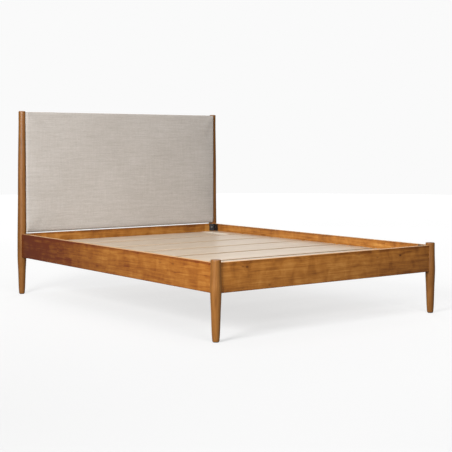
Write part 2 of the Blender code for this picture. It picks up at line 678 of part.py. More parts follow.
def build_panel(build):
    layers = panel_layers()
    half_width = LEG_X - POST_WIDEST - PANEL_HALF_WIDTH_PLAY
    front = LEG_Y - PANEL_FACE_SETBACK
    low = Vector((-half_width, front, RAIL_TOP + PANEL_RAIL_SPACE))
    high = Vector((half_width, front + PANEL_THICKNESS, POST_TOP - PANEL_TOP_DROP))
    cover = build_cover((low, high), build)

    inset = COVER_THICKNESS + FIT_GAP
    inner_x = half_width - inset
    bottom = low.z + inset
    top = high.z - inset
    parts = build["parts"]

    def slab(name, layer, x_low, x_high, z_low, z_high, material, ease=0.0, segments=1):
        near, far = layers[layer]
        return add_box(name, (x_low, near, z_low), (x_high, far, z_high), parts, material, ease,
                       segments)

    foam = slab("panel_foam_pad", "foam", -inner_x, inner_x, bottom, top, build["foam"],
                COVER_EDGE_RADIUS - COVER_THICKNESS, 4)
    keep_back_edges_sharp(foam)
    backing = slab("panel_backing_board", "backing", -inner_x, inner_x, bottom, top, build["board"])
    keep_corners_round(backing, COVER_EDGE_RADIUS)
    rail_gap = PANEL_FRAME_WIDTH + FIT_GAP
    slab("panel_top_batten", "frame", -inner_x + rail_gap, inner_x - rail_gap,
         top - PANEL_FRAME_WIDTH, top, build["plain_wood"], PANEL_FRAME_EASE)
    slab("panel_bottom_batten", "frame", -inner_x + rail_gap, inner_x - rail_gap,
         bottom, bottom + PANEL_FRAME_WIDTH, build["plain_wood"], PANEL_FRAME_EASE)
    stiles = {}
    for side, sign in SIDES.items():
        xs = sorted((sign * inner_x, sign * (inner_x - PANEL_FRAME_WIDTH)))
        stile = slab("panel_stile_" + side, "frame", xs[0], xs[1], bottom, top, build["plain_wood"])
        keep_corners_round(stile, COVER_EDGE_RADIUS)
        stiles[side] = stile
    slab("panel_dust_cover", "dust", -inner_x + DUST_COVER_MARGIN, inner_x - DUST_COVER_MARGIN,
         bottom + DUST_COVER_MARGIN, top - DUST_COVER_MARGIN, build["dust_cloth"])
    build_dowels(layers, inner_x, cover, stiles, build)


def choose_bevel_edges(thing, wanted):
    """Limit an object's bevel to the edges that pass a test on their middle and direction."""
    shape = bmesh.new()
    shape.from_mesh(thing.data)
    weights = shape.edges.layers.float.new("bevel_weight_edge")
    for edge in shape.edges:
        middle = (edge.verts[0].co + edge.verts[1].co) / 2
        along = (edge.verts[1].co - edge.verts[0].co).normalized()
        edge[weights] = 1.0 if wanted(middle, along) else 0.0
    shape.to_mesh(thing.data)
    shape.free()
    for modifier in thing.modifiers:
        if modifier.type == "BEVEL":
            modifier.limit_method = "WEIGHT"


def keep_back_edges_sharp(foam):
    choose_bevel_edges(foam, lambda middle, along: middle.y <= 0.0001)


def keep_corners_round(board, radius):
    bevel = board.modifiers.new("rounded corners", "BEVEL")
    bevel.width = radius
    bevel.segments = 4
    half_x = max(vertex.co.x for vertex in board.data.vertices)
    outer = {1} if board.name.endswith("right") else {-1} if board.name.endswith("left") else {-1, 1}
    choose_bevel_edges(board, lambda middle, along: abs(along.y) > 0.9
                       and (1 if middle.x > half_x / 2 else -1) in outer)


def build_dowels(layers, inner_x, cover, stiles, build):
    """Dowels that carry the panel between the posts."""
    axis_y = sum(layers["frame"]) / 2
    for side, sign in SIDES.items():
        for level, height in zip(("lower", "upper"), DOWEL_HEIGHTS):
            start_x = inner_x - DOWEL_IN_PANEL
            length = LEG_X - POST_WIDEST + DOWEL_IN_POST - start_x
            profile = ((0.0, length), (DOWEL_RADIUS - TIP_EASE, length), (DOWEL_RADIUS, length - TIP_EASE),
                       (DOWEL_RADIUS, TIP_EASE), (DOWEL_RADIUS - TIP_EASE, 0.0), (0.0, 0.0))
            name = "panel_dowel_%s_%s" % (side, level)
            dowel = add_turned(name, profile, build["parts"], build["plain_wood"], SMALL_TURN_STEPS)
            dowel.location = (sign * start_x, axis_y, height)
            point_along(dowel, (sign, 0, 0))
            hole = add_bore(name + " hole", DOWEL_RADIUS + FIT_GAP,
                            (sign * (start_x - FIT_GAP), axis_y, height), (sign, 0, 0),
                            length + 2 * FIT_GAP, build["cutters"])
            for thing in (cover, stiles[side], build["legs"]["head", side]):
                cut(thing, hole)


# ---- the whole bed ------------------------------------------------------------------------------
def main():
    clear_scene()
    build = {
        "parts": make_collection("wooden_bed_frame"),
        "cutters": make_collection("cutters"),
        "wood": make_material("stained wood", (0.34, 0.13, 0.045), 0.45),
        "slat_wood": make_material("pale slat board", (0.68, 0.60, 0.52), 0.38),
        "plain_wood": make_material("plain softwood", (0.58, 0.40, 0.24), 0.65),
        "steel": make_material("black steel", (0.02, 0.015, 0.012), 0.45, 0.6),
        "bolt_steel": make_material("dark zinc", (0.20, 0.19, 0.18), 0.4, 0.9),
        "fabric": make_material("woven upholstery", (0.47, 0.41, 0.34), 0.9),
        "foam": make_material("foam", (0.80, 0.76, 0.62), 0.95),
        "board": make_material("plywood", (0.62, 0.47, 0.30), 0.7),
        "dust_cloth": make_material("dust cloth", (0.05, 0.05, 0.05), 0.95),
        "plastic": make_material("black plastic", (0.03, 0.03, 0.03), 0.5),
        "legs": {},
        "clearances": {},
        "rails": {},
    }
    build_legs(build)
    build_end_rails(build)
    build_side_rails(build)
    build_slats(build)
    build_ledgers(build)
    build_centre_beam(build)
    for end in ENDS:
        build_beam_hanger(end, build)
    build_centre_leg(build)
    build_corners(build)
    build_panel(build)


main()
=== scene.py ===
import math
import random

import bmesh
import bpy
from mathutils import Matrix, Vector, noise


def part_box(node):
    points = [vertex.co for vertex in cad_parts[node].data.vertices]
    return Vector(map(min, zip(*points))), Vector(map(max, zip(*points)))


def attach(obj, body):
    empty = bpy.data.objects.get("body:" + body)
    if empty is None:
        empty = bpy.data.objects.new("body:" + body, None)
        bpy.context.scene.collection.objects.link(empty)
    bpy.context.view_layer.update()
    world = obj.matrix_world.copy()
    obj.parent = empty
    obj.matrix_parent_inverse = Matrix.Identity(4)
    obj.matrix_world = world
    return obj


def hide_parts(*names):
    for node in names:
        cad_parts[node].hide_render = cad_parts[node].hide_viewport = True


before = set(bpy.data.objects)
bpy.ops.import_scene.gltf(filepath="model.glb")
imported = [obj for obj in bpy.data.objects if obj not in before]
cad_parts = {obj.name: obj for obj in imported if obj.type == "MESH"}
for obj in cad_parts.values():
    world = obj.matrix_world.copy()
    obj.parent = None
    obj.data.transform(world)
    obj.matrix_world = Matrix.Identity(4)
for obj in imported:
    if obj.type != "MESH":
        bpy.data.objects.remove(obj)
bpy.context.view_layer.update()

chance = random.Random(41)
sides = {"left": -1, "right": 1}
ends = {"foot": -1, "head": 1}
legKinds = {"foot": "foot_leg_", "head": "headboard_post_"}
corners = [(end, side) for end in ends for side in sides]
sharpAngle = math.radians(40.0)
print("frame loaded,", len(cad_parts), "nodes")


# shader building: a Wire is one socket, and sums on it add Math nodes

class Wire:
    def __init__(self, shop, socket):
        self.shop = shop
        self.socket = socket

    def __add__(self, other):
        return self.shop.maths("ADD", self, other)

    def __sub__(self, other):
        return self.shop.maths("SUBTRACT", self, other)

    def __rsub__(self, other):
        return self.shop.maths("SUBTRACT", other, self)

    def __mul__(self, other):
        return self.shop.maths("MULTIPLY", self, other)

    def __truediv__(self, other):
        return self.shop.maths("DIVIDE", self, other)

    def __pow__(self, other):
        return self.shop.maths("POWER", self, other)

    __radd__ = __add__
    __rmul__ = __mul__


class Finish:
    def __init__(self, name, **constants):      # constants go straight on the shader's own sockets
        self.material = bpy.data.materials.new(name)
        self.material.use_nodes = True
        self.tree = self.material.node_tree
        self.shader = self.tree.nodes["Principled BSDF"]
        for socketName, value in constants.items():
            self.shader.inputs[socketName].default_value = value

    def add(self, kind, settings, values, output=0):
        node = self.tree.nodes.new(kind)
        for key, value in settings.items():
            if key == "stops":
                self.setStops(node.color_ramp, value)
            else:
                setattr(node, key, value)
        pairs = values.items() if isinstance(values, dict) else enumerate(values)
        for key, value in pairs:
            self.feed(node.inputs[key], value)
        return Wire(self, node.outputs[output])

    def feed(self, socket, value):
        if isinstance(value, Wire):
            self.tree.links.new(value.socket, socket)
        else:
            socket.default_value = value

    def setStops(self, ramp, stops):
        while len(ramp.elements) < len(stops):
            ramp.elements.new(1.0)
        for element, (place, colour) in zip(ramp.elements, stops):
            element.position = place
            element.color = (*colour, 1.0)

    def maths(self, operation, *values):
        return self.add("ShaderNodeMath", {"operation": operation}, values)

    def place(self):                            # the point's own place, in metres
        return self.add("ShaderNodeTexCoord", {}, {}, "Object")

    def split(self, vector):
        first = self.add("ShaderNodeSeparateXYZ", {}, [vector])
        return [Wire(self, output) for output in first.socket.node.outputs]

    def join(self, x, y, z):
        return self.add("ShaderNodeCombineXYZ", {}, [x, y, z])

    def pick(self, x, y, z):                    # one random value for each whole place
        return self.add("ShaderNodeTexWhiteNoise", {}, {"Vector": self.join(x, y, z)})

    def noise(self, vector, scale, detail, rough, bend=0.0):
        values = {"Vector": vector, "Scale": scale, "Detail": detail, "Roughness": rough, "Distortion": bend}
        return self.add("ShaderNodeTexNoise", {}, values)

    # noise layers: the scale along each of the places, detail, roughness, share of the tone and distortion
    def layer(self, places, look, shift=0.0):
        scales, detail, rough, tone, bend = look
        first, second, third = (place * scale for place, scale in zip(places, scales))
        return self.noise(self.join(first + shift, second, third), 1.0, detail, rough, bend)

    def layers(self, places, looks, shift=0.0):
        return {name: self.layer(places, look, shift) for name, look in looks.items()}

    def tone(self, level, layers, looks):
        for name, look in looks.items():
            if look[3]:
                level = level + (layers[name] - 0.5) * look[3]
        return level

    def length(self, x, y, z):
        return self.add("ShaderNodeVectorMath", {"operation": "LENGTH"}, [self.join(x, y, z)], "Value")

    def ramp(self, value, stops):
        return self.add("ShaderNodeValToRGB", {"stops": stops}, [value])

    def smooth(self, value, low, high, start=0.0, stop=1.0):
        settings = {"interpolation_type": "SMOOTHSTEP"}
        return self.add("ShaderNodeMapRange", settings, {0: value, 1: low, 2: high, 3: start, 4: stop})

    def mix(self, factor, first, second):
        return self.add("ShaderNodeMix", {"data_type": "RGBA"}, {0: factor, 6: first, 7: (*second, 1.0)}, 2)

    def finish(self, colour, rough, height, strength, distance):
        self.feed(self.shader.inputs["Base Color"], colour)
        self.feed(self.shader.inputs["Roughness"], rough)
        values = {"Height": height, "Strength": strength, "Distance": distance}
        self.feed(self.shader.inputs["Normal"], self.add("ShaderNodeBump", {}, values))
        return self.material


# wood: the places are along the grain and then the two ways across it

def grainAxes(shop, grain):
    axes = shop.split(shop.place())
    along = axes.pop("xyz".index(grain))
    return along, axes[0], axes[1]


stainTones = {
    "rail": ((0.165, 0.048, 0.0060), (0.370, 0.138, 0.0220), (0.560, 0.260, 0.0600)),
    "leg": ((0.120, 0.043, 0.0080), (0.222, 0.086, 0.0160), (0.330, 0.146, 0.0360)),
    "sideLeft": ((0.128, 0.021, 0.0020), (0.286, 0.097, 0.0120), (0.475, 0.208, 0.0420)),
}
stainFigure = {"rail": 1.0, "leg": 0.35, "sideLeft": 0.75}      # how strong each one's clouds are
stainedWood = {
    "stops": (0.10, 0.48, 0.92),
    "layers": {
        "broad": ((1.3, 18.0, 22.0), 3.0, 0.55, 0.40, 0.0),
        "streak": ((5.0, 90.0, 150.0), 3.0, 0.6, 0.75, 0.0),
        "fine": ((14.0, 420.0, 480.0), 2.0, 0.6, 0.40, 0.0),
        "fleck": ((26.0, 160.0, 210.0), 1.0, 0.5, 0.0, 0.0),
        "wander": ((0.8, 3.0, 4.0), 2.0, 0.5, 0.0, 0.0),
    },
    "cloud": ((15.0, 8.0, 11.0), 3.0, 0.55, 0.85, 0.5),
    "ringsPerMetre": 95.0,
    "ringWander": 4.0,
    "lateWood": (0.26, 0.5),
    "lateTone": 0.10,
    "flecks": (0.66, 0.80),
    "fleckTone": 0.12,
    "knot": (0.080, 0.021, 0.003),
    "knotStretch": 1.5,
    "knotBend": (4.0, 1.1),            # how far the grain bends round a knot, and how much, in knot sizes
    "halo": (2.6, 0.8, 0.35),
    "heart": (1.05, 0.35),
    # painted highlight on a rail's top face: the pale tone of the varnish's sheen, how deep it reaches and its
    # share
    "paintedSheen": (0.820, 0.480, 0.200),
    "paintedSheenDepth": (0.0012, 0.0002),
    "paintedSheenShare": 0.75,
    # painted shade: a darker band under a rail's top arris; then a darker band just above the bottom arris
    "paintedShadeUnderTop": (0.024, 0.004),
    "paintedShadeTone": 0.22,
    "overBottom": 0.005,
    "bottomTone": 0.30,
    "blockEdge": 0.004,
    "rough": 0.38,
    "roughSpread": 0.18,
    "coat": 0.12,
    "coatRough": 0.20,
    "gloss": 0.35,
    "heights": (0.6, 0.5, 0.3),        # of the fine grain, the streaks and the late wood
    "bump": 0.10,
    "bumpDepth": 0.0006,
    "seedStep": 3.71,
    "staveSteps": (7.0, 31.0),
}


# look: seed, pith, tones and perhaps tone, staves, a change of tone along the length (partly painted shade) and
# block; span: the bottom and the top of a rail
def stainedFinish(name, grain, look, knots=(), span=None):
    wood = stainedWood
    shop = Finish(name, **{"Coat Roughness": wood["coatRough"], "Coat Weight": wood["coat"],
                           "Specular IOR Level": wood["gloss"]})
    along, second, third = grainAxes(shop, grain)
    seed, pith, tones = look["seed"], look["pith"], look["tones"]
    shift = seed * wood["seedStep"]
    level = 0.5 + look.get("tone", 0.0)
    if "staves" in look:                        # boards glued up from shorter strips
        staves = look["staves"]
        rowStep, pieceStep = wood["staveSteps"]
        row = shop.maths("FLOOR", (third + staves["offset"]) / staves["height"])
        piece = shop.maths("FLOOR", along / staves["length"] + shop.pick(row, seed, 0.5) * rowStep)
        pick = shop.pick(row, piece, seed)
        level = level + (pick - 0.5) * staves["contrast"]
        shift = pick * pieceStep + shift
    if "toneAndShadeAlong" in look:                          # darker from one end to the other: partly a change of stain, partly painted shade for the key light's fall-off
        toneAndShadeAlong = look["toneAndShadeAlong"]
        level = level + shop.smooth(along, toneAndShadeAlong["from"], toneAndShadeAlong["to"], 0.0, toneAndShadeAlong["tone"])
    if "block" in look:                         # one paler strip
        block = look["block"]
        start = block["from"]
        level = level + shop.smooth(along, start, start + wood["blockEdge"], 0.0, block["tone"])
    if span:                                    # painted shade in a band under the top arris, and darker towards the bottom arris
        bottom, top = span
        start, stop = wood["paintedShadeUnderTop"]
        level = level - shop.smooth(third, top - start, top - stop, 0.0, wood["paintedShadeTone"])
        level = level - shop.smooth(third, bottom + wood["overBottom"], bottom, 0.0, wood["bottomTone"])
    lift = 0.0
    marks = []
    for alongAt, acrossAt, size, depth in knots:
        away = shop.length((along - alongAt) / wood["knotStretch"], third - acrossAt, 0.0)
        bendReach, bend = wood["knotBend"]
        lift = shop.smooth(away, size * bendReach, 0.0, 0.0, size * bend) + lift
        marks.append((away, size, depth))
    lifted = third + lift
    layers = shop.layers((along, second, lifted), wood["layers"], shift)
    cloud = shop.layer((along, second, third), wood["cloud"], shift)
    radius = shop.length(0.0, second - pith[0], lifted - pith[1])
    turns = radius * wood["ringsPerMetre"] + layers["wander"] * wood["ringWander"]
    late = shop.smooth(shop.maths("PINGPONG", turns, 0.5), *wood["lateWood"])
    darkFleck = shop.smooth(layers["fleck"], *wood["flecks"])
    level = shop.tone(level, layers, wood["layers"])
    level = level + (cloud - 0.5) * (wood["cloud"][3] * stainFigure[tones])
    level = level - late * wood["lateTone"] - darkFleck * wood["fleckTone"]
    dark = stainTones[tones][0]
    colour = shop.ramp(level, list(zip(wood["stops"], stainTones[tones])))
    if span:                                    # painted highlight: the top face is mixed toward a pale tone that stands for the varnish's sheen
        start, stop = wood["paintedSheenDepth"]
        paintedSheen = shop.smooth(third, top - start, top - stop, 0.0, wood["paintedSheenShare"])
        colour = shop.mix(paintedSheen, colour, wood["paintedSheen"])
    for away, size, depth in marks:
        outer, inner, share = wood["halo"]
        colour = shop.mix(shop.smooth(away, size * outer, size * inner, 0.0, depth * share), colour, dark)
        outer, inner = wood["heart"]
        colour = shop.mix(shop.smooth(away, size * outer, size * inner, 0.0, depth), colour, wood["knot"])
    rough = wood["rough"] + (layers["fine"] - 0.5) * wood["roughSpread"]
    fine, streak, ring = wood["heights"]
    height = layers["fine"] * fine + layers["streak"] * streak - late * ring
    return shop.finish(colour, rough, height, wood["bump"], wood["bumpDepth"])


plainBoard = {
    "coat": 0.0,
    "coatRough": 0.3,
    "gloss": 0.4,
    "lines": 70.0,
    "patchy": 0.9,
    "streaky": 0.8,
    "speckled": 0.35,
    "stops": (0.15, 0.85),
    "roughSpread": 0.12,
    "heights": (0.6, 0.4),
    "bump": 0.12,
    "bumpDepth": 0.0005,
    "seedStep": 5.13,
}
softwood = {"dark": (0.42, 0.26, 0.13), "light": (0.68, 0.50, 0.31), "rough": 0.62}


def boardFinish(name, grain, seed, changes, edges=None):
    look = {**plainBoard, **changes}
    shop = Finish(name, **{"Coat Weight": look["coat"], "Coat Roughness": look["coatRough"],
                           "Specular IOR Level": look["gloss"]})
    axes = grainAxes(shop, grain)
    lines = look["lines"]
    looks = {
        "broad": ((1.2, 12.0, 14.0), 3.0, 0.5, look["patchy"], 0.2),
        "streak": ((4.0, lines, lines), 4.0, 0.6, look["streaky"], 0.0),
        "fine": ((22.0, 460.0, 460.0), 2.0, 0.6, look["speckled"], 0.0),
    }
    layers = shop.layers(axes, looks, seed * look["seedStep"])
    level = shop.tone(0.5, layers, looks)
    colour = shop.ramp(level, list(zip(look["stops"], (look["dark"], look["light"]))))
    if edges:                                   # the edges are darker than the faces: partly a darker sawn tone, partly painted shade of the gaps between slats
        middle, half = (edges[0] + edges[1]) / 2, (edges[1] - edges[0]) / 2
        away = shop.maths("ABSOLUTE", axes[1] - middle)
        sawnAndShade = shop.smooth(away, half - look["sawnAndShadeDepth"] * 2, half - look["sawnAndShadeDepth"])
        colour = shop.mix(sawnAndShade, colour, look["sawnAndShade"])
    rough = look["rough"] + (layers["fine"] - 0.5) * look["roughSpread"]
    fine, streak = look["heights"]
    height = layers["fine"] * fine + layers["streak"] * streak
    return shop.finish(colour, rough, height, look["bump"], look["bumpDepth"])


plywood = {
    "pliesPerMetre": 333.0,
    "plyTone": 0.15,
    "layers": {
        "figure": ((2.0, 900.0, 30.0), 4.0, 0.6, 1.0, 0.5),
        "fine": ((30.0, 500.0, 420.0), 2.0, 0.6, 0.4, 0.0),
    },
    "stops": [(0.2, (0.45, 0.30, 0.16)), (0.8, (0.70, 0.54, 0.36))],
    "rough": 0.66,
    "roughSpread": 0.1,
    "bump": 0.12,
    "bumpDepth": 0.0004,
}


def plywoodFinish(name):
    shop = Finish(name)
    places = shop.split(shop.place())
    ply = shop.maths("PINGPONG", places[1] * plywood["pliesPerMetre"], 1.0)
    layers = shop.layers(places, plywood["layers"])
    level = shop.tone(0.5, layers, plywood["layers"]) + (ply - 0.5) * plywood["plyTone"]
    rough = plywood["rough"] + (layers["fine"] - 0.5) * plywood["roughSpread"]
    return shop.finish(shop.ramp(level, plywood["stops"]), rough, layers["fine"], plywood["bump"],
                       plywood["bumpDepth"])


# cloth, metal and plastic

linen = {
    "warpPitch": 0.0016,
    "weftPitch": 0.0019,
    "wander": 4.0,
    "weaveTone": 0.07,
    "stops": [(0.10, (0.330, 0.292, 0.255)), (0.50, (0.452, 0.416, 0.380)), (0.90, (0.580, 0.545, 0.515))],
    "layers": {
        "slub": ((13.0, 13.0, 260.0), 3.0, 0.62, 0.50, 0.0),
        "longSlub": ((5.0, 5.0, 125.0), 2.0, 0.55, 0.30, 0.0),
        "shortSlub": ((60.0, 60.0, 620.0), 2.0, 0.6, 0.55, 0.0),
        "upright": ((420.0, 420.0, 10.0), 2.0, 0.6, 0.40, 0.0),
        "cloud": ((3.0, 3.0, 4.0), 2.0, 0.5, 0.22, 0.0),
    },
    "weaveHeight": 0.4,
    "heights": {"slub": 0.45, "longSlub": 0.15, "upright": 0.4},
    "rough": 0.88,
    "roughSpread": 0.15,
    "bump": 0.35,
    "bumpDepth": 0.0006,
}


def linenFinish(name):
    shop = Finish(name, **{"Sheen Weight": 0.20, "Sheen Roughness": 0.5, "Specular IOR Level": 0.2})
    x, y, z = shop.split(shop.place())
    layers = shop.layers((x, y, z), linen["layers"])
    weft = shop.maths("SINE", z * (math.tau / linen["weftPitch"]) + layers["slub"] * linen["wander"])
    warp = shop.maths("SINE", (x + y) * (math.tau / linen["warpPitch"]) + layers["upright"] * linen["wander"])
    weave = weft * warp
    level = shop.tone(0.5, layers, linen["layers"]) + weave * linen["weaveTone"]
    height = weave * linen["weaveHeight"]
    for layer, share in linen["heights"].items():
        height = height + layers[layer] * share
    rough = linen["rough"] + (layers["slub"] - 0.5) * linen["roughSpread"]
    return shop.finish(shop.ramp(level, linen["stops"]), rough, height, linen["bump"], linen["bumpDepth"])


gritMix = {"patchScale": 0.05, "gritTone": 0.7, "patchTone": 0.8, "patchRough": 0.25, "stops": (0.2, 0.8)}
gritLooks = {
    "black_steel": {"dark": (0.006, 0.005, 0.005), "light": (0.018, 0.015, 0.014), "grit": 1800.0, "rough": 0.50,
                    "bump": 0.25, "constants": {"Specular IOR Level": 0.22}},
    "dark_zinc_steel": {"dark": (0.08, 0.076, 0.072), "light": (0.22, 0.21, 0.20), "grit": 900.0, "rough": 0.34,
                        "constants": {"Metallic": 1.0}},
    "black_plastic": {"dark": (0.012, 0.012, 0.012), "light": (0.030, 0.030, 0.030), "grit": 1400.0,
                      "rough": 0.5},
    "dust_cloth": {"dark": (0.016, 0.016, 0.017), "light": (0.060, 0.060, 0.062), "grit": 1100.0, "rough": 0.9,
                   "bump": 0.5, "bumpDepth": 0.0004},
}


def gritFinish(name, look):
    shop = Finish(name, **look.get("constants", {}))
    place = shop.place()
    grit = shop.noise(place, look["grit"], 3.0, 0.6)
    patch = shop.noise(place, look["grit"] * gritMix["patchScale"], 2.0, 0.5)
    level = 0.5 + (grit - 0.5) * gritMix["gritTone"] + (patch - 0.5) * gritMix["patchTone"]
    colour = shop.ramp(level, list(zip(gritMix["stops"], (look["dark"], look["light"]))))
    rough = look["rough"] + (patch - 0.5) * gritMix["patchRough"]
    return shop.finish(colour, rough, grit, look.get("bump", 0.1), look.get("bumpDepth", 0.0002))


gritFinishes = {slotName: gritFinish(slotName.replace("_", " "), look) for slotName, look in gritLooks.items()}


# mesh tools

def addObject(name, data):
    holder = bpy.data.objects.new(name, data)
    bpy.context.scene.collection.objects.link(holder)
    return holder


def setShading(mesh):
    mesh.shade_smooth()
    mesh.set_sharp_from_angle(angle=sharpAngle)


def newPiece(name, mesh, slotName, replaced=(), material=None, body="bed_frame"):
    piece = addObject(name, mesh)
    mesh.materials.clear()
    mesh.materials.append(material or gritFinishes[slotName])
    setShading(mesh)
    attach(piece, body)
    if replaced:
        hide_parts(*replaced)
    return piece


def meshFrom(shape, name):
    mesh = bpy.data.meshes.new(name)
    bmesh.ops.recalc_face_normals(shape, faces=shape.faces)
    shape.to_mesh(mesh)
    shape.free()
    return mesh


def standIn(prefix, node, shape, slotName, material=None):
    return newPiece(prefix + "_" + node, meshFrom(shape, node), slotName, [node], material)


def middleOf(node):
    low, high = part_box(node)
    return (low + high) / 2


def plainBox(low, high):
    shape = bmesh.new()
    bmesh.ops.create_cube(shape, size=1.0)
    bmesh.ops.scale(shape, vec=high - low, verts=shape.verts)
    bmesh.ops.translate(shape, vec=(low + high) / 2, verts=shape.verts)
    return shape


def roundedBox(low, high, ease, steps=4):
    shape = plainBox(low, high)
    bmesh.ops.bevel(shape, geom=shape.edges[:], offset=ease, segments=steps, profile=0.5,
                    affect="EDGES", clamp_overlap=True)
    return shape


def sliceAlong(shape, axis, low, high, count):
    for number in range(1, count):
        at = Vector((0, 0, 0))
        normal = Vector((0, 0, 0))
        at[axis] = low + (high - low) * number / count
        normal[axis] = 1.0
        geometry = shape.verts[:] + shape.edges[:] + shape.faces[:]
        bmesh.ops.bisect_plane(shape, geom=geometry, plane_co=at, plane_no=normal)


def bridge(shape, rings):      # faces between each closed row of points and the next
    for one, two in zip(rings, rings[1:]):
        count = max(len(one), len(two))
        for number in range(count):
            after = (number + 1) % count
            if len(one) == 1:
                points = [one[0], two[number], two[after]]
            elif len(two) == 1:
                points = [one[number], two[0], one[after]]
            else:
                points = [one[number], two[number], two[after], one[after]]
            shape.faces.new(points)


def aimed(origin, direction):      # takes the Z axis to a line
    return Matrix.Translation(origin) @ Vector(direction).to_track_quat("Z", "Y").to_matrix().to_4x4()


# rows of (radius, height), or (function of the angle, height), spun round the Z axis
def turned(rows, steps, origin=(0, 0, 0), direction=(0, 0, 1)):
    shape = bmesh.new()
    rings = []
    for radius, height in rows:
        if not callable(radius) and radius < 1e-6:
            rings.append([shape.verts.new((0, 0, height))])
            continue
        ring = []
        for number in range(steps):
            angle = math.tau * number / steps
            reach = radius(angle) if callable(radius) else radius
            ring.append(shape.verts.new((reach * math.cos(angle), reach * math.sin(angle), height)))
        rings.append(ring)
    bridge(shape, rings)
    bmesh.ops.transform(shape, matrix=aimed(origin, direction), verts=shape.verts)
    return shape


def throughPoints(points, pieces):
    padded = [points[0], *points, points[-1]]
    curve = []
    for number in range(1, len(padded) - 2):
        before, start, stop, after = (Vector(padded[number + step]) for step in (-1, 0, 1, 2))
        for step in range(pieces):
            t = step / pieces
            curve.append((2 * start + (stop - before) * t + (2 * before - 5 * start + 4 * stop - after) * t ** 2
                          + (3 * start - before - 3 * stop + after) * t ** 3) / 2)
    curve.append(Vector(points[-1]))
    return curve


def applyModifiers(piece):
    bpy.context.view_layer.update()
    evaluated = piece.evaluated_get(bpy.context.evaluated_depsgraph_get())
    mesh = bpy.data.meshes.new_from_object(evaluated)
    piece.modifiers.clear()
    piece.data = mesh


def cutAway(piece, cutMesh):
    cutter = addObject("cutter", cutMesh)
    carve = piece.modifiers.new("cut", "BOOLEAN")
    carve.operation = "DIFFERENCE"
    carve.object = cutter
    applyModifiers(piece)
    bpy.data.objects.remove(cutter)
    setShading(piece.data)


def dressNode(node, material, ease=0.0):
    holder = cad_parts[node]
    holder.data.materials.clear()
    holder.data.materials.append(material)
    if ease:
        soften = holder.modifiers.new("ease", "BEVEL")
        soften.width = ease
        soften.segments = 3
        soften.limit_method = "ANGLE"
        soften.angle_limit = sharpAngle
        soften.harden_normals = True


def alongLine(node, origin, direction):      # a node's reach along a line and away from it
    places = []
    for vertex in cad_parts[node].data.vertices:
        off = vertex.co - origin
        along = off.dot(direction)
        places.append((along, (off - direction * along).length))
    low = min(place[0] for place in places)
    high = max(place[0] for place in places)
    return low, high, max(place[1] for place in places)


# camera and studio

studio = {
    "lens": 85.05,
    "sensor": 36.0,
    "cameraPlace": (-3.966, -5.415, 0.993),
    "cameraTurn": -36.87,
    "shiftY": -0.180,
    "clipEnd": 60.0,
    "reach": 15.0,
    "wall": 0.956,
    "right": (0.8, -0.6),              # the ways across and into the room
    "back": (0.6, 0.8),
    "backWall": (0.78, 0.93),
    "sideWalls": (-0.6, 0.6),
    "leftSide": 0.16,
    "rightSide": 0.08,
    "ceilingFrom": (0.5, 0.9),
    "ceiling": 0.30,
    "floorTone": 0.28,
    "floorAmbient": 0.16,
    "bounce": 0.20,
}
softboxes = {
    "key": {"at": (-4.3, -2.1, 2.2), "aim": (-0.6, -0.6, 0.3), "size": (1.6, 1.6), "power": 300.0},
    "fill": {"at": (-1.4, -5.2, 2.4), "aim": (-0.3, -0.6, 0.3), "size": (2.4, 1.8), "power": 120.0},
    "top": {"at": (0.0, 0.3, 4.2), "aim": (0.0, 0.3, 0.0), "size": (3.0, 3.0), "power": 22.0},
    "rear": {"at": (3.4, 4.6, 2.2), "aim": (0.1, 0.4, 0.5), "size": (2.6, 2.2), "power": 85.0, "matt": True},
}


def buildCamera():
    camera = bpy.data.cameras.new("camera")
    camera.lens = studio["lens"]
    camera.sensor_width = studio["sensor"]
    camera.shift_y = studio["shiftY"]
    camera.clip_end = studio["clipEnd"]
    holder = addObject("camera", camera)
    holder.location = studio["cameraPlace"]
    holder.rotation_euler = (math.radians(90.0), 0.0, math.radians(studio["cameraTurn"]))
    bpy.context.scene.camera = holder


def addSoftbox(name, look):      # a matt one isn't mirrored by the varnish
    light = bpy.data.lights.new(name + " softbox", "AREA")
    light.shape = "RECTANGLE"
    light.size, light.size_y = look["size"]
    light.energy = look["power"]
    holder = addObject(name + " softbox", light)
    holder.location = look["at"]
    holder.visible_glossy = not look.get("matt", False)
    holder.rotation_euler = (Vector(look["aim"]) - Vector(look["at"])).to_track_quat("-Z", "Y").to_euler()


def glowFinish(name, makeGlow, tone):
    shop = Finish(name, **{"Specular IOR Level": 0.0, "Emission Strength": 1.0, "Roughness": 1.0,
                           "Base Color": (tone, tone, tone, 1.0)})
    glow = makeGlow(shop)
    shop.feed(shop.shader.inputs["Emission Color"], shop.join(glow, glow, glow))
    return shop.material


def domeGlow(shop):      # lights the bed: bright behind it, dimmer to the right so that round parts are shaded
    x, y, z = shop.split(shop.place())
    reach = studio["reach"]
    right = (x * studio["right"][0] + y * studio["right"][1]) / reach
    back = (x * studio["back"][0] + y * studio["back"][1]) / reach
    around = shop.smooth(right, *studio["sideWalls"], studio["leftSide"], studio["rightSide"])
    around = around + shop.smooth(z / reach, *studio["ceilingFrom"], 0.0, studio["ceiling"])
    return around + (studio["wall"] - around) * shop.smooth(back, *studio["backWall"])


def wallGlow(shop):      # the wall that shows
    return studio["wall"]


def floorGlow(shop):      # evens out the softboxes' fall-off, so that the open floor is one tone
    x, y, z = shop.split(shop.place())
    level = studio["wall"] - studio["floorTone"] * studio["floorAmbient"]
    for look in softboxes.values():
        at = Vector(look["at"])
        aim = (Vector(look["aim"]) - at).normalized()
        acrossX, acrossY = x - at.x, y - at.y
        away = shop.length(acrossX, acrossY, at.z)
        facing = shop.maths("MAXIMUM", acrossX * aim.x + acrossY * aim.y - at.z * aim.z, 0.0)
        level = level - facing * (at.z * look["power"] * studio["floorTone"] / math.pi ** 2) / away ** 4.0
    return level


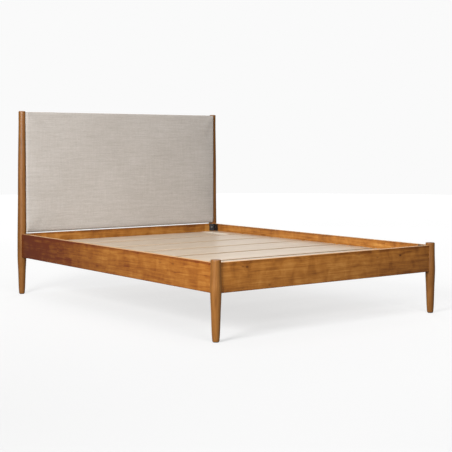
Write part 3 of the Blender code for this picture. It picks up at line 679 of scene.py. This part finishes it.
def buildStudio():
    floorShape = bmesh.new()
    bmesh.ops.create_circle(floorShape, cap_ends=True, segments=96, radius=studio["reach"])
    domeShape = bmesh.new()
    bmesh.ops.create_uvsphere(domeShape, u_segments=48, v_segments=24, radius=studio["reach"])
    below = [vertex for vertex in domeShape.verts if vertex.co.z < -0.01]
    bmesh.ops.delete(domeShape, geom=below, context="VERTS")
    wallShape = domeShape.copy()
    holders = {}
    for name, shape, glow, tone in (("floor", floorShape, floorGlow, studio["floorTone"]),
                                    ("dome", domeShape, domeGlow, 0.0), ("wall", wallShape, wallGlow, 0.0)):
        mesh = meshFrom(shape, "studio_" + name)
        mesh.materials.append(glowFinish(name, glow, tone))
        mesh.shade_smooth()
        holders[name] = addObject("studio_" + name, mesh)
    holders["dome"].visible_camera = False
    for name in ("floor", "wall"):      # seen, but they don't flood the bed with light
        holders[name].visible_diffuse = False
        holders[name].visible_glossy = False
    world = bpy.data.worlds.new("studio")
    world.use_nodes = True
    world.node_tree.nodes["Background"].inputs["Color"].default_value = (studio["bounce"],) * 3 + (1.0,)
    bpy.context.scene.world = world
    for name, look in softboxes.items():
        addSoftbox(name, look)
    bpy.context.scene.view_settings.view_transform = "Standard"
    bpy.context.scene.view_settings.look = "None"
    print("studio ready")


# legs and posts

legs = {
    "sides": 96,
    "pieces": 4,
    "fullRing": 100,
    "sameRadius": 0.00015,
    "crownRise": 0.0010,
    "crownShares": (0.8, 0.55, 0.3),
    "rimRadius": 0.0040,
    "rimSteps": 5,
    "floorRim": 0.0016,
    "floorShare": 0.3,
    "pithOff": (0.05, -0.06),
}


def profileOf(node):      # a turned node's middle, floor and top, and its (radius, height) rows
    low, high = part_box(node)
    centre = (low + high) / 2
    levels = {}
    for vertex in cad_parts[node].data.vertices:
        reach = Vector((vertex.co.x - centre.x, vertex.co.y - centre.y)).length
        levels.setdefault(round(vertex.co.z, 4), []).append(reach)
    profile = []
    for height, reaches in sorted(levels.items()):
        radius = max(reaches)
        if sum(1 for reach in reaches if radius - reach < legs["sameRadius"]) >= legs["fullRing"]:
            profile.append((radius, height))
    return centre, low.z, high.z, profile


def buildLeg(node, material):
    centre, floor, top, profile = profileOf(node)
    rim = legs["rimRadius"]
    edge = legs["floorRim"]
    shoulder = top - legs["crownRise"]
    body = [place for place in profile if floor + edge < place[1] < shoulder - 1.5 * rim]
    topRadius = body[-1][0]
    floorRadius = max(radius for radius, height in profile if height < floor + 2 * edge)
    body = [(floorRadius, floor + edge), *body, (topRadius, shoulder - rim)]
    near = edge * legs["floorShare"]
    rows = [(0.0, floor), (floorRadius - edge, floor), (floorRadius - near, floor + near)]
    rows += [(point.x, point.y) for point in throughPoints(body, legs["pieces"])]
    for step in range(1, legs["rimSteps"] + 1):
        angle = step * math.pi / 2 / legs["rimSteps"]
        rows.append((topRadius - rim * (1 - math.cos(angle)), shoulder - rim * (1 - math.sin(angle))))
    crownEdge = rows[-1][0]
    for share in legs["crownShares"]:
        rows.append((crownEdge * share, top - legs["crownRise"] * share ** 2))
    shape = turned([*rows, (0.0, top)], legs["sides"], (centre.x, centre.y, 0.0))
    standIn("turned", node, shape, "stained_wood", material)


def buildLegs():
    for side, sign in sides.items():
        for seed, kind in enumerate(legKinds.values(), start=1):
            middle = middleOf(kind + side)
            pith = (middle.x + legs["pithOff"][0] * sign, middle.y + legs["pithOff"][1])
            look = {"seed": seed + 3 * sign, "pith": pith, "tones": "leg"}
            buildLeg(kind + side, stainedFinish("stain " + kind + side, "z", look))
    print("legs and posts turned")


# rails

rails = {
    "ease": 0.0028,
    "steps": 4,
    "intoLeg": 0.0205,
    "slices": 14,
    "kerfSpace": 0.0005,
    "kerfOpening": 0.01,
    "kerfEase": 0.0002,
    "sheet": 0.003,
}
railKnots = {      # along, height, size and depth
    "foot_rail": [(-0.624, 0.371, 0.0055, 0.45), (-0.597, 0.367, 0.0080, 0.80), (0.520, 0.357, 0.0080, 0.95),
                  (0.336, 0.356, 0.0050, 0.45), (-0.449, 0.263, 0.0070, 0.40), (0.193, 0.383, 0.0100, 0.30),
                  (-0.209, 0.387, 0.0080, 0.30)],
    "side_rail_left": [(-0.726, 0.363, 0.0070, 0.45), (0.073, 0.277, 0.0065, 0.55), (-0.601, 0.360, 0.0060, 0.35),
                       (-0.745, 0.320, 0.0050, 0.35), (0.520, 0.330, 0.0080, 0.40)],
    "side_rail_right": [(0.410, 0.300, 0.0080, 0.60), (-0.520, 0.340, 0.0070, 0.50)],
    "head_rail": [(0.300, 0.320, 0.0080, 0.60), (-0.420, 0.290, 0.0060, 0.50)],
}
sideStaves = {"offset": 0.012, "height": 0.062, "length": 0.62, "contrast": 0.04}
railLooks = {
    # the left side rail and the foot rail darken away from the key light: partly stain, partly painted shade for
    # the light's fall-off
    "side_rail_left": {"grain": "y", "seed": 11, "pith": (-1.1, 0.2), "staves": sideStaves, "tone": 0.02,
                       "tones": "sideLeft", "toneAndShadeAlong": {"from": -0.2, "to": 1.0, "tone": -0.46}},
    "side_rail_right": {"grain": "y", "seed": 12, "pith": (1.1, 0.2), "staves": sideStaves, "tone": 0.02,
                        "tones": "rail"},
    "foot_rail": {"grain": "x", "seed": 13, "pith": (-1.4, 0.24), "tones": "rail",
                  "toneAndShadeAlong": {"from": 0.1, "to": 0.8, "tone": -0.14}},
    "head_rail": {"grain": "x", "seed": 14, "pith": (1.4, 0.24), "tones": "rail",
                  "block": {"from": 0.703, "tone": 0.30}},
}


def kerfBoxes(node):      # the open slots that hold the brackets' hooked ends
    boxes = []
    for end, side in corners:
        if node not in (end + "_rail", "side_rail_" + side):
            continue
        low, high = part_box("corner_bracket_" + end + "_" + side)
        axis, outward = (0, sides[side]) if node == end + "_rail" else (1, ends[end])
        if outward > 0:
            high[axis] = low[axis] + rails["sheet"]
        else:
            low[axis] = high[axis] - rails["sheet"]
        space = Vector((1, 1, 1)) * rails["kerfSpace"]
        boxes.append((low - space, high + space + Vector((0, 0, rails["kerfOpening"]))))
    return boxes


def legsAt(node):      # the legs at a rail's low and high ends
    if node.startswith("side_rail_"):
        return [kind + node.split("_")[-1] for kind in legKinds.values()]
    return [legKinds[node.split("_")[0]] + side for side in sides]


def buildRail(node, look):
    low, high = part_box(node)
    axis = "xyz".index(look["grain"])
    lowLeg, highLeg = (middleOf(leg) for leg in legsAt(node))
    low[axis] = lowLeg[axis] + rails["intoLeg"]
    high[axis] = highLeg[axis] - rails["intoLeg"]
    finish = stainedFinish("stain " + node, look["grain"], look, railKnots[node], (low.z, high.z))
    shape = roundedBox(low, high, rails["ease"], rails["steps"])
    sliceAlong(shape, axis, low[axis], high[axis], rails["slices"])
    piece = standIn("board", node, shape, "stained_wood", finish)
    for cutLow, cutHigh in kerfBoxes(node):
        cutAway(piece, meshFrom(roundedBox(cutLow, cutHigh, rails["kerfEase"], 1), "kerf"))


def buildRails():
    for node, look in railLooks.items():
        buildRail(node, look)
    print("rails cut")


# slats and what carries them

slats = {
    "count": 6,
    "ease": 0.0008,
    "slices": (12, 6),
    "cup": 0.00025,
    "waves": (1.4, 2.0, 7.0),
    "look": {"dark": (0.570, 0.428, 0.290), "light": (0.760, 0.630, 0.500), "rough": 0.40, "coat": 0.12,
             "coatRough": 0.24, "lines": 55.0, "bump": 0.03, "patchy": 0.7, "sawnAndShadeDepth": 0.0006},
    # edge tones: a darker sawn tone plus painted gap shade, darkest on the slats nearest the foot
    "sawnAndShade": ((0.230, 0.125, 0.060), (0.520, 0.380, 0.250)),      # the first slat's edges and the last ones'
    "sawnAndShadeRun": 3,
}
# a narrow pale strip lying along the last slat
paleStrip = {
    "x": 0.640,
    "from": 0.712,
    "to": 1.000,
    "steps": 14,
    "width": 0.036,
    "unevenness": (0.08, 30.0),
    "bow": (0.002, 9.0),
    "thick": 0.0012,
    "section": ((-1, 0), (-0.96, 1), (0, 1), (0.96, 1), (1, 0), (0, 0)),
    "look": {"dark": (0.86, 0.76, 0.62), "light": (0.94, 0.86, 0.74), "rough": 0.55, "bump": 0.05},
}
supports = {"ease": 0.002, "slices": 12}
centreLeg = {      # radius, and height from the floor, from the beam and from the leg's top
    "sides": 64,
    "foot": ((0.0, 0.0), (0.0120, 0.0), (0.0134, 0.0006), (0.0140, 0.002)),
    "shoulder": ((0.0170, -0.0016), (0.0167, -0.0007), (0.0160, -0.0003), (0.0080, -0.0003)),
    "tenon": ((0.0080, -0.001), (0.0070, 0.0), (0.0, 0.0)),
}


def buildSlats():
    first, last = (Vector(tone) for tone in slats["sawnAndShade"])
    for number in range(1, slats["count"] + 1):
        node = "slat_%d" % number
        low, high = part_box(node)
        shape = roundedBox(low, high, slats["ease"], 3)
        for axis, count in enumerate(slats["slices"]):
            sliceAlong(shape, axis, low[axis], high[axis], count)
        alongWave, acrossWave, step = slats["waves"]
        for vertex in shape.verts:
            wave = noise.noise(Vector((vertex.co.x * alongWave, vertex.co.y * acrossWave, number * step)))
            vertex.co.z -= slats["cup"] * (0.5 + 0.5 * wave)
        sawnAndShade = first.lerp(last, min(1.0, (number - 1) / slats["sawnAndShadeRun"]))
        finish = boardFinish("slat board %d" % number, "x", number * 1.7, {**slats["look"], "sawnAndShade": sawnAndShade},
                             (low.y, high.y))
        standIn("board", node, shape, "slat_board", finish)


def buildPaleStrip():      # a narrow pale strip along the last slat
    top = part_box("slat_6")[1].z
    unevenness, grain = paleStrip["unevenness"]
    bow, bend = paleStrip["bow"]
    shape = bmesh.new()
    rows = []
    for number in range(paleStrip["steps"] + 1):
        y = paleStrip["from"] + (paleStrip["to"] - paleStrip["from"]) * number / paleStrip["steps"]
        half = paleStrip["width"] / 2 * (1.0 + unevenness * noise.noise(Vector((0.0, y * grain, 2.0))))
        middle = paleStrip["x"] + bow * math.sin(y * bend)
        rows.append([shape.verts.new((middle + half * place, y, top + paleStrip["thick"] * rise))
                     for place, rise in paleStrip["section"]])
    bridge(shape, rows)
    for row in (rows[0], rows[-1]):
        shape.faces.new(row)
    finish = boardFinish("paleStrip", "y", 3.0, paleStrip["look"])
    newPiece("slat_edge_tape", meshFrom(shape, "paleStrip"), "slat_board", material=finish)


def buildSupports():
    for number, node in enumerate(("slat_ledger_left", "slat_ledger_right", "centre_beam")):
        low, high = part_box(node)
        shape = roundedBox(low, high, supports["ease"], 3)
        sliceAlong(shape, 1, low.y, high.y, supports["slices"])
        finish = boardFinish("softwood " + node, "y", 20 + number, softwood)
        standIn("board", node, shape, "plain_softwood", finish)
    low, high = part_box("centre_leg")
    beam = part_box("centre_beam")[0].z
    rows = [(radius, base + rise) for part, base in (("foot", low.z), ("shoulder", beam), ("tenon", high.z))
            for radius, rise in centreLeg[part]]
    middle = middleOf("centre_leg")
    shape = turned(rows, centreLeg["sides"], (middle.x, middle.y, 0.0))
    finish = boardFinish("softwood centre leg", "z", 31, softwood)
    standIn("turned", "centre_leg", shape, "plain_softwood", finish)
    print("deck laid")


# threads, nuts, screws and glides

thread = {
    "sides": 24,
    "pitch": 0.00125,
    "depth": 0.0007,
    "rowsPerTurn": 6,
    "runIn": 0.0015,
    "tipEase": 0.0008,
}
bolt = {"sides": 24, "slack": 0.0001, "behindNut": 0.006, "shankShare": 0.8, "shankFrom": 0.012,
        "shankGap": 0.0002}
nut = {
    "sides": 72,
    "across": 0.013,
    "bore": 0.0041,
    "foot": 0.0042,
    "mouth": 0.0047,
    "mouthDepth": 0.0006,
    "rim": 0.0004,
    "rimHeight": 0.0009,
    "slope": (0.0010, 0.0014),
    "skirt": (0.0002, 0.0018),
    "chamfer": 0.0012,
    "cornerShare": 0.535,
    "topShare": 0.47,
}
screw = {
    "sides": 48,
    "neck": (0.0015, 0.002),
    "rim": 0.0003,
    "crownSteps": 8,
    "crossHalf": 0.0005,
    "crossReach": 0.0021,
    "crossDepth": 0.0013,
    "crossOver": 0.001,
    "crossEase": 0.0001,
    "railSpace": 0.0003,
    "hangerRise": 0.0026,
}
glide = {
    "sides": 64,
    "rim": ((-0.0012, 0.0), (-0.0003, 0.0004), (0.0, 0.0011), (0.0, 0.0022), (-0.0003, 0.0027),
            (-0.0008, 0.0030)),
    "pin": 0.0012,
    "pinPoint": 0.001,
}
sheetEase = 0.0006


def threadedRod(radius, start, stop, origin, direction):
    shape = bmesh.new()
    count = int((stop - start) / thread["pitch"] * thread["rowsPerTurn"])
    rings = []
    for number in range(count + 1):
        height = start + (stop - start) * number / count
        toneAndShadeAlong = min(1.0, (stop - height) / thread["tipEase"], (height - start) / thread["runIn"])
        narrowed = 1.0 - toneAndShadeAlong if height > stop - thread["tipEase"] else 0.0
        ring = []
        for step in range(thread["sides"]):
            phase = (height / thread["pitch"] - step / thread["sides"]) % 1.0
            groove = abs(phase - 0.5) * 2.0
            reach = radius - thread["depth"] * (groove * toneAndShadeAlong + narrowed)
            angle = math.tau * step / thread["sides"]
            ring.append(shape.verts.new((reach * math.cos(angle), reach * math.sin(angle), height)))
        rings.append(ring)
    bridge(shape, rings)
    shape.faces.new(rings[-1])
    shape.faces.new(rings[0])
    bmesh.ops.transform(shape, matrix=aimed(origin, direction), verts=shape.verts)
    return shape


def hexReach(across, limit=1.0, extra=0.0):      # a hexagon's edge at each angle, its corners cut at the limit
    def reach(angle):
        off = (angle + math.pi / 6) % (math.pi / 3) - math.pi / 6
        return min(across / 2 / math.cos(off) + extra, limit)
    return reach


def nutShape(low, high, flange, origin, direction):
    across = nut["across"]
    slopeIn, slopeUp = nut["slope"]
    skirtOut, skirtUp = nut["skirt"]
    rows = [(nut["foot"], low), (flange - nut["rim"], low), (flange, low + nut["rim"]),
            (flange, low + nut["rimHeight"]), (flange - slopeIn, low + slopeUp),
            (hexReach(across, extra=skirtOut), low + skirtUp), (hexReach(across), low + skirtUp + nut["rim"]),
            (hexReach(across), high - nut["chamfer"]),
            (hexReach(across, across * nut["cornerShare"]), high - nut["chamfer"] / 2),
            (across * nut["topShare"], high), (nut["mouth"], high), (nut["bore"], high - nut["mouthDepth"]),
            (nut["bore"], low + nut["mouthDepth"]), (nut["foot"], low)]
    return turned(rows, nut["sides"], origin, direction)


def crossScrew(node, headRadius, rise, baseAt, origin, direction):
    rim = screw["rim"]
    neck, neckDepth = screw["neck"]
    rows = [(0.0, baseAt - neckDepth), (neck, baseAt - neckDepth), (neck, baseAt), (headRadius - rim, baseAt),
            (headRadius, baseAt + rim)]
    for step in range(1, screw["crownSteps"] + 1):
        angle = step * math.pi / 2 / (screw["crownSteps"] + 1)
        rows.append((headRadius * math.cos(angle), baseAt + rim + (rise - rim) * math.sin(angle)))
    rows.append((0.0, baseAt + rise))
    piece = standIn("driven", node, turned(rows, screw["sides"], origin, direction), "dark_zinc_steel")
    half, reach = screw["crossHalf"], screw["crossReach"]
    for x, y in ((half, reach), (reach, half)):
        low = Vector((-x, -y, baseAt + rise - screw["crossDepth"]))
        high = Vector((x, y, baseAt + rise + screw["crossOver"]))
        cutMesh = meshFrom(roundedBox(low, high, screw["crossEase"], 1), "cross")
        cutMesh.transform(aimed(origin, direction))
        cutAway(piece, cutMesh)


def buildBolt(end, side):
    tag = end + "_" + side
    leg = middleOf(legKinds[end] + side)
    origin = Vector((leg.x, leg.y, middleOf("flange_nut_" + tag).z))
    direction = Vector((-sides[side], -ends[end], 0.0)).normalized()
    low, high, flange = alongLine("flange_nut_" + tag, origin, direction)
    shape = nutShape(low, high, flange, origin, direction)
    standIn("turned", "flange_nut_" + tag, shape, "dark_zinc_steel")
    tail, tip, radius = alongLine("hanger_bolt_" + tag, origin, direction)
    shape = threadedRod(radius - bolt["slack"], low - bolt["behindNut"], tip, origin, direction)
    shank = radius * bolt["shankShare"]
    start, stop = tail + bolt["shankFrom"], low - bolt["behindNut"] - bolt["shankGap"]
    rows = [(0.0, start), (shank, start), (shank, stop), (0.0, stop)]
    shape.from_mesh(meshFrom(turned(rows, bolt["sides"], origin, direction), "shank"))
    standIn("threaded", "hanger_bolt_" + tag, shape, "dark_zinc_steel")


def buildBracketScrew(end, side):
    node = "bracket_screw_" + end + "_" + side
    middle = middleOf(node)
    origin = Vector((0.0, middle.y, middle.z))
    inward = Vector((-sides[side], 0.0, 0.0))
    low, high, headRadius = alongLine(node, origin, inward)
    railLow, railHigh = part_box("side_rail_" + side)
    railFace = railHigh.x if sides[side] < 0 else -railLow.x
    base = railFace + rails["sheet"] + screw["railSpace"]
    crossScrew(node, headRadius, high - base, base, origin, inward)


def buildGlide(tag):
    low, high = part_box("leg_glide_" + tag)
    middle = middleOf("leg_glide_" + tag)
    radius = (high.x - low.x) / 2
    rows = [(0.0, 0.0), *((radius + reach, height) for reach, height in glide["rim"]),
            (glide["pin"], glide["rim"][-1][1]), (glide["pin"], high.z - glide["pinPoint"]), (0.0, high.z)]
    shape = turned(rows, glide["sides"], (middle.x, middle.y, 0.0))
    standIn("moulded", "leg_glide_" + tag, shape, "black_plastic")


def buildHanger(end):
    dressNode("beam_hanger_" + end, gritFinishes["black_steel"], sheetEase)
    for side in sides:
        node = "hanger_screw_" + end + "_" + side
        middle = middleOf(node)
        origin = Vector((middle.x, 0.0, middle.z))
        inward = Vector((0.0, -ends[end], 0.0))
        low, high, headRadius = alongLine(node, origin, inward)
        crossScrew(node, headRadius, screw["hangerRise"], high - screw["hangerRise"], origin, inward)


def buildCorners():
    for end, side in corners:
        dressNode("corner_bracket_" + end + "_" + side, gritFinishes["black_steel"], sheetEase)
        buildBolt(end, side)
        buildBracketScrew(end, side)
        buildGlide(end + "_" + side)
    for end in ends:
        buildHanger(end)
    print("corners fastened")


# levelling foot: radius and height rows, with the hexagon between the collar and the crown

leveller = {
    "sides": 72,
    "rim": ((-0.0012, 0.0), (-0.0003, 0.0004), (0.0, 0.0012), (0.0, 0.0070), (-0.0010, 0.0086)),
    "collar": (0.0125, 0.0100),
    "hexAcross": 0.017,
    "hexTop": 0.0152,
    "crown": (0.0092, 0.0158),
    "face": (0.0078, 0.0160),
    "stud": (0.0049, 0.0159),
    "steelAbove": 0.0101,
}


def buildLeveller():
    low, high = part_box("centre_leg_leveller")
    middle = middleOf("centre_leg_leveller")
    pad = (high.x - low.x) / 2
    hexagon = hexReach(leveller["hexAcross"])
    crownRadius, crownHeight = leveller["crown"]
    faceHeight = leveller["face"][1]
    studRadius, studFrom = leveller["stud"]
    rows = [(0.0, 0.0), *((pad + reach, height) for reach, height in leveller["rim"]), leveller["collar"],
            (hexagon, leveller["collar"][1]), (hexagon, leveller["hexTop"]),
            (hexReach(leveller["hexAcross"], crownRadius), crownHeight), leveller["face"],
            (studRadius, faceHeight), (0.0, faceHeight)]
    origin = (middle.x, middle.y, 0.0)
    shape = turned(rows, leveller["sides"], origin)
    shape.from_mesh(meshFrom(threadedRod(studRadius, studFrom, high.z, origin, (0, 0, 1)), "stud"))
    piece = newPiece("threaded_leveller", meshFrom(shape, "leveller"), "black_plastic", ["centre_leg_leveller"],
                     body="leveller")
    piece.data.materials.append(gritFinishes["dark_zinc_steel"])
    for polygon in piece.data.polygons:
        if polygon.center.z > leveller["steelAbove"]:
            polygon.material_index = 1
    print("leveller turned")


# upholstered headboard panel

panel = {
    "spacing": 0.013,
    "inset": 0.0018,
    "edgeRadius": 0.0105,
    "edgeSteps": 5,
    "depthSlices": 5,
    "sameVertex": 0.0008,
    "swell": 0.0040,
    "sideSwell": 0.0012,
    "postGap": 0.0022,
    "reach": {-1: (0.7716, 0.7775), 1: (0.7675, 0.7675)},      # at the bottom and the top of each side
    "sideRun": 0.06,
    "floorDrop": 0.0025,
    "rollHeight": 0.030,
    "rollDepth": 0.011,
    "rollRun": 0.03,
    "back": 1.1036,
    "heldDepth": 0.004,
    "fill": 0.95,
}
blowUpFrames = 20
blowUp = {"quality": 4, "mass": 0.35, "tension_stiffness": 30.0, "compression_stiffness": 30.0,
          "bending_stiffness": 1.5, "use_pressure": True, "uniform_pressure_force": 4.0}


def panelMesh(low, high):
    shape = plainBox(low, high)
    front = [edge for edge in shape.edges if all(vertex.co.y < (low.y + high.y) / 2 for vertex in edge.verts)]
    runs = [edge for edge in shape.edges if abs(edge.verts[0].co.y - edge.verts[1].co.y) > 0.01]
    bmesh.ops.bevel(shape, geom=front + runs, offset=panel["edgeRadius"], segments=panel["edgeSteps"],
                    profile=0.5, affect="EDGES")
    for axis in (0, 2):
        sliceAlong(shape, axis, low[axis], high[axis], int((high[axis] - low[axis]) / panel["spacing"]))
    sliceAlong(shape, 1, low.y, high.y, panel["depthSlices"])
    bmesh.ops.remove_doubles(shape, verts=shape.verts, dist=panel["sameVertex"])
    return meshFrom(shape, "panel")


def easeStep(value, low, high):
    share = max(0.0, min(1.0, (value - low) / (high - low)))
    return share * share * (3 - 2 * share)


def sideRoom(place, low, high, post):      # how wide the panel may be at a place beside the tapering posts
    centre, profile = post[0], post[-1]
    height = max(place.z, low.z + 0.005)
    radius = profile[0][0]
    for (lower, start), (upper, stop) in zip(profile, profile[1:]):
        if start <= height <= stop:
            radius = lower + (upper - lower) * (height - start) / (stop - start)
    bottomReach, topReach = panel["reach"][1 if place.x > 0 else -1]
    reach = bottomReach + (topReach - bottomReach) * (height - low.z) / (high.z - low.z)
    clear = radius + panel["postGap"]
    ahead = centre.y - place.y
    if ahead >= clear:
        return reach
    return min(reach, centre.x - math.sqrt(clear ** 2 - max(ahead, 0.0) ** 2))


# the sides wrap over the fronts of the posts, and the bottom rolls under
def fitSides(mesh, low, high, post):
    for vertex in mesh.vertices:
        place = vertex.co
        out = abs(place.x)
        share = easeStep(out, high.x - panel["sideRun"], high.x)
        wide = sideRoom(place, low, high, post) - high.x
        roll = 1.0 - max(0.0, min(1.0, (place.z - low.z) / panel["rollHeight"]))
        ahead = 1.0 - easeStep(place.y, low.y, low.y + panel["rollRun"])
        place.x = math.copysign(out + wide * share, place.x)
        place.y += panel["rollDepth"] * roll * roll * ahead


def inflate(piece, heldFrom):      # the cover is blown up from inside and held along its back
    grip = piece.vertex_groups.new(name="held")
    rest = [vertex.co.copy() for vertex in piece.data.vertices]
    for number, place in enumerate(rest):
        grip.add([number], 1.0 if place.y > heldFrom else 0.0, "REPLACE")
    cloth = piece.modifiers.new("cloth", "CLOTH")
    for key, value in blowUp.items():
        setattr(cloth.settings, key, value)
    cloth.settings.effector_weights.gravity = 0.0
    cloth.settings.vertex_group_mass = "held"
    cloth.collision_settings.use_collision = False
    cloth.point_cache.frame_start = 1
    cloth.point_cache.frame_end = blowUpFrames
    for step in range(1, blowUpFrames + 1):
        bpy.context.scene.frame_set(step)
    applyModifiers(piece)
    bpy.context.scene.frame_set(1)
    for vertex, start in zip(piece.data.vertices, rest):
        move = vertex.co - start
        if move.length > 1e-7:
            move = move * (panel["swell"] * math.tanh(move.length / panel["swell"]) / move.length)
        for axis in (0, 2):
            move[axis] = max(-panel["sideSwell"], min(panel["sideSwell"], move[axis]))
        vertex.co = start if start.y > heldFrom else start + move


def buildPanel():
    low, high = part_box("panel_fabric_cover")
    inset = panel["inset"]
    low = low + Vector((inset, inset, -panel["floorDrop"]))
    high = high - Vector((inset, 0.0, inset))
    high.y = panel["back"]
    mesh = panelMesh(low, high)
    fitSides(mesh, low, high, profileOf("headboard_post_right"))
    finish = linenFinish("linen")
    replaced = ["panel_fabric_cover", "panel_foam_pad"]
    piece = newPiece("linen_headboard_panel", mesh, "upholstery_fabric", replaced, finish)
    inflate(piece, high.y - panel["heldDepth"])
    piece.data.materials.clear()
    piece.data.materials.append(finish)
    finer = piece.modifiers.new("finer", "SUBSURF")
    finer.levels = finer.render_levels = 1
    piece.data.shade_smooth()
    print("panel padded")


# the back of the panel

dustCover = {
    "thick": 0.0004,
    "columns": 104,
    "lines": 54,
    "pullReach": 0.05,
    "pucker": 0.0022,
    "lift": 0.00045,
    "rest": 0.0001,
    "slack": (3.0, 5.0, 0.00015),
    "staplePitch": 0.058,
}
staple = {
    "margin": 0.009,
    "tilt": 0.12,
    "out": 0.0010,
    "sides": 6,
    "radius": 0.00035,
    "path": ((-0.005, -0.0008), (-0.005, 0.0001), (-0.0047, 0.0003), (0.0047, 0.0003), (0.005, 0.0001),
             (0.005, -0.0008)),
}
backEase = {"board": 0.0006, "batten": 0.0012}
backFrame = (("panel_top_batten", "x"), ("panel_bottom_batten", "x"), ("panel_stile_left", "z"),
             ("panel_stile_right", "z"))


def dustPlace(low, high, column, line):      # a point of the dust cover, pulled in at each staple
    x = low.x + (high.x - low.x) * column / dustCover["columns"]
    z = low.z + (high.z - low.z) * line / dustCover["lines"]
    sideEdge, levelEdge = min(x - low.x, high.x - x), min(z - low.z, high.z - z)
    edge = min(sideEdge, levelEdge)
    toneAndShadeAlong = max(0.0, 1.0 - edge / dustCover["pullReach"])
    run = x if levelEdge < sideEdge else z
    pull = toneAndShadeAlong * 0.5 * (1.0 - math.cos(math.tau * run / dustCover["staplePitch"]))
    scale, seed, depth = dustCover["slack"]
    slack = noise.noise(Vector((x * scale, z * scale, seed))) * depth
    y = low.y + dustCover["rest"] + abs(slack) + dustCover["lift"] * pull
    if edge < 1e-6:
        inward = dustCover["pucker"] * pull
        x += inward if x - low.x < 1e-6 else -inward if high.x - x < 1e-6 else 0.0
        z += inward if z - low.z < 1e-6 else -inward if high.z - z < 1e-6 else 0.0
    return x, y, z


def buildDustCover(low, high):
    shape = bmesh.new()
    grid = [[shape.verts.new(dustPlace(low, high, column, line)) for column in range(dustCover["columns"] + 1)]
            for line in range(dustCover["lines"] + 1)]
    for one, two in zip(grid, grid[1:]):
        for column in range(dustCover["columns"]):
            shape.faces.new([one[column], one[column + 1], two[column + 1], two[column]])
    sheet = newPiece("dust_cover_cloth", meshFrom(shape, "dust"), "dust_cloth", ["panel_dust_cover"])
    thicken = sheet.modifiers.new("thickness", "SOLIDIFY")
    thicken.thickness = dustCover["thick"]
    thicken.offset = 0.0


def staplePlaces(low, high):
    margin = staple["margin"]
    wide, tall = high.x - low.x - 2 * margin, high.z - low.z - 2 * margin
    across, upward = int(wide / dustCover["staplePitch"]), int(tall / dustCover["staplePitch"])
    places = []
    for number in range(across + 1):
        x = low.x + margin + wide * number / across
        places += [(x, low.z + margin, 0.0), (x, high.z - margin, 0.0)]
    for number in range(1, upward):
        z = low.z + margin + tall * number / upward
        places += [(low.x + margin, z, math.pi / 2), (high.x - margin, z, math.pi / 2)]
    return places


def buildStaples(low, high):
    shape = bmesh.new()
    for x, z, angle in staplePlaces(low, high):
        tilt = angle + chance.uniform(-staple["tilt"], staple["tilt"])
        place = Matrix.Translation((x, low.y + staple["out"], z)) @ Matrix.Rotation(tilt, 4, "Y")
        rings = []
        for along, out in staple["path"]:
            ring = []
            for step in range(staple["sides"]):
                turn = math.tau * step / staple["sides"]
                point = Vector((along, out + staple["radius"] * math.sin(turn), staple["radius"] * math.cos(turn)))
                ring.append(shape.verts.new(place @ point))
            rings.append(ring)
        bridge(shape, rings)
        shape.faces.new(rings[0])
        shape.faces.new(rings[-1])
    newPiece("dust_cover_staples", meshFrom(shape, "staples"), "dark_zinc_steel")


def buildBack():
    low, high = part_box("panel_dust_cover")
    buildDustCover(low, high)
    buildStaples(low, high)
    dressNode("panel_backing_board", plywoodFinish("plywood"), backEase["board"])
    for number, (node, grain) in enumerate(backFrame):
        dressNode(node, boardFinish("softwood " + node, grain, 40 + number, softwood), backEase["batten"])
    for side in sides:
        for level in ("lower", "upper"):
            node = "panel_dowel_" + side + "_" + level
            dressNode(node, boardFinish("dowel " + side + " " + level, "x", 50 + sides[side], softwood))
    print("panel back closed")


buildCamera()
buildStudio()
buildLegs()
buildRails()
buildSlats()
buildPaleStrip()
buildSupports()
buildCorners()
buildLeveller()
buildPanel()
buildBack()
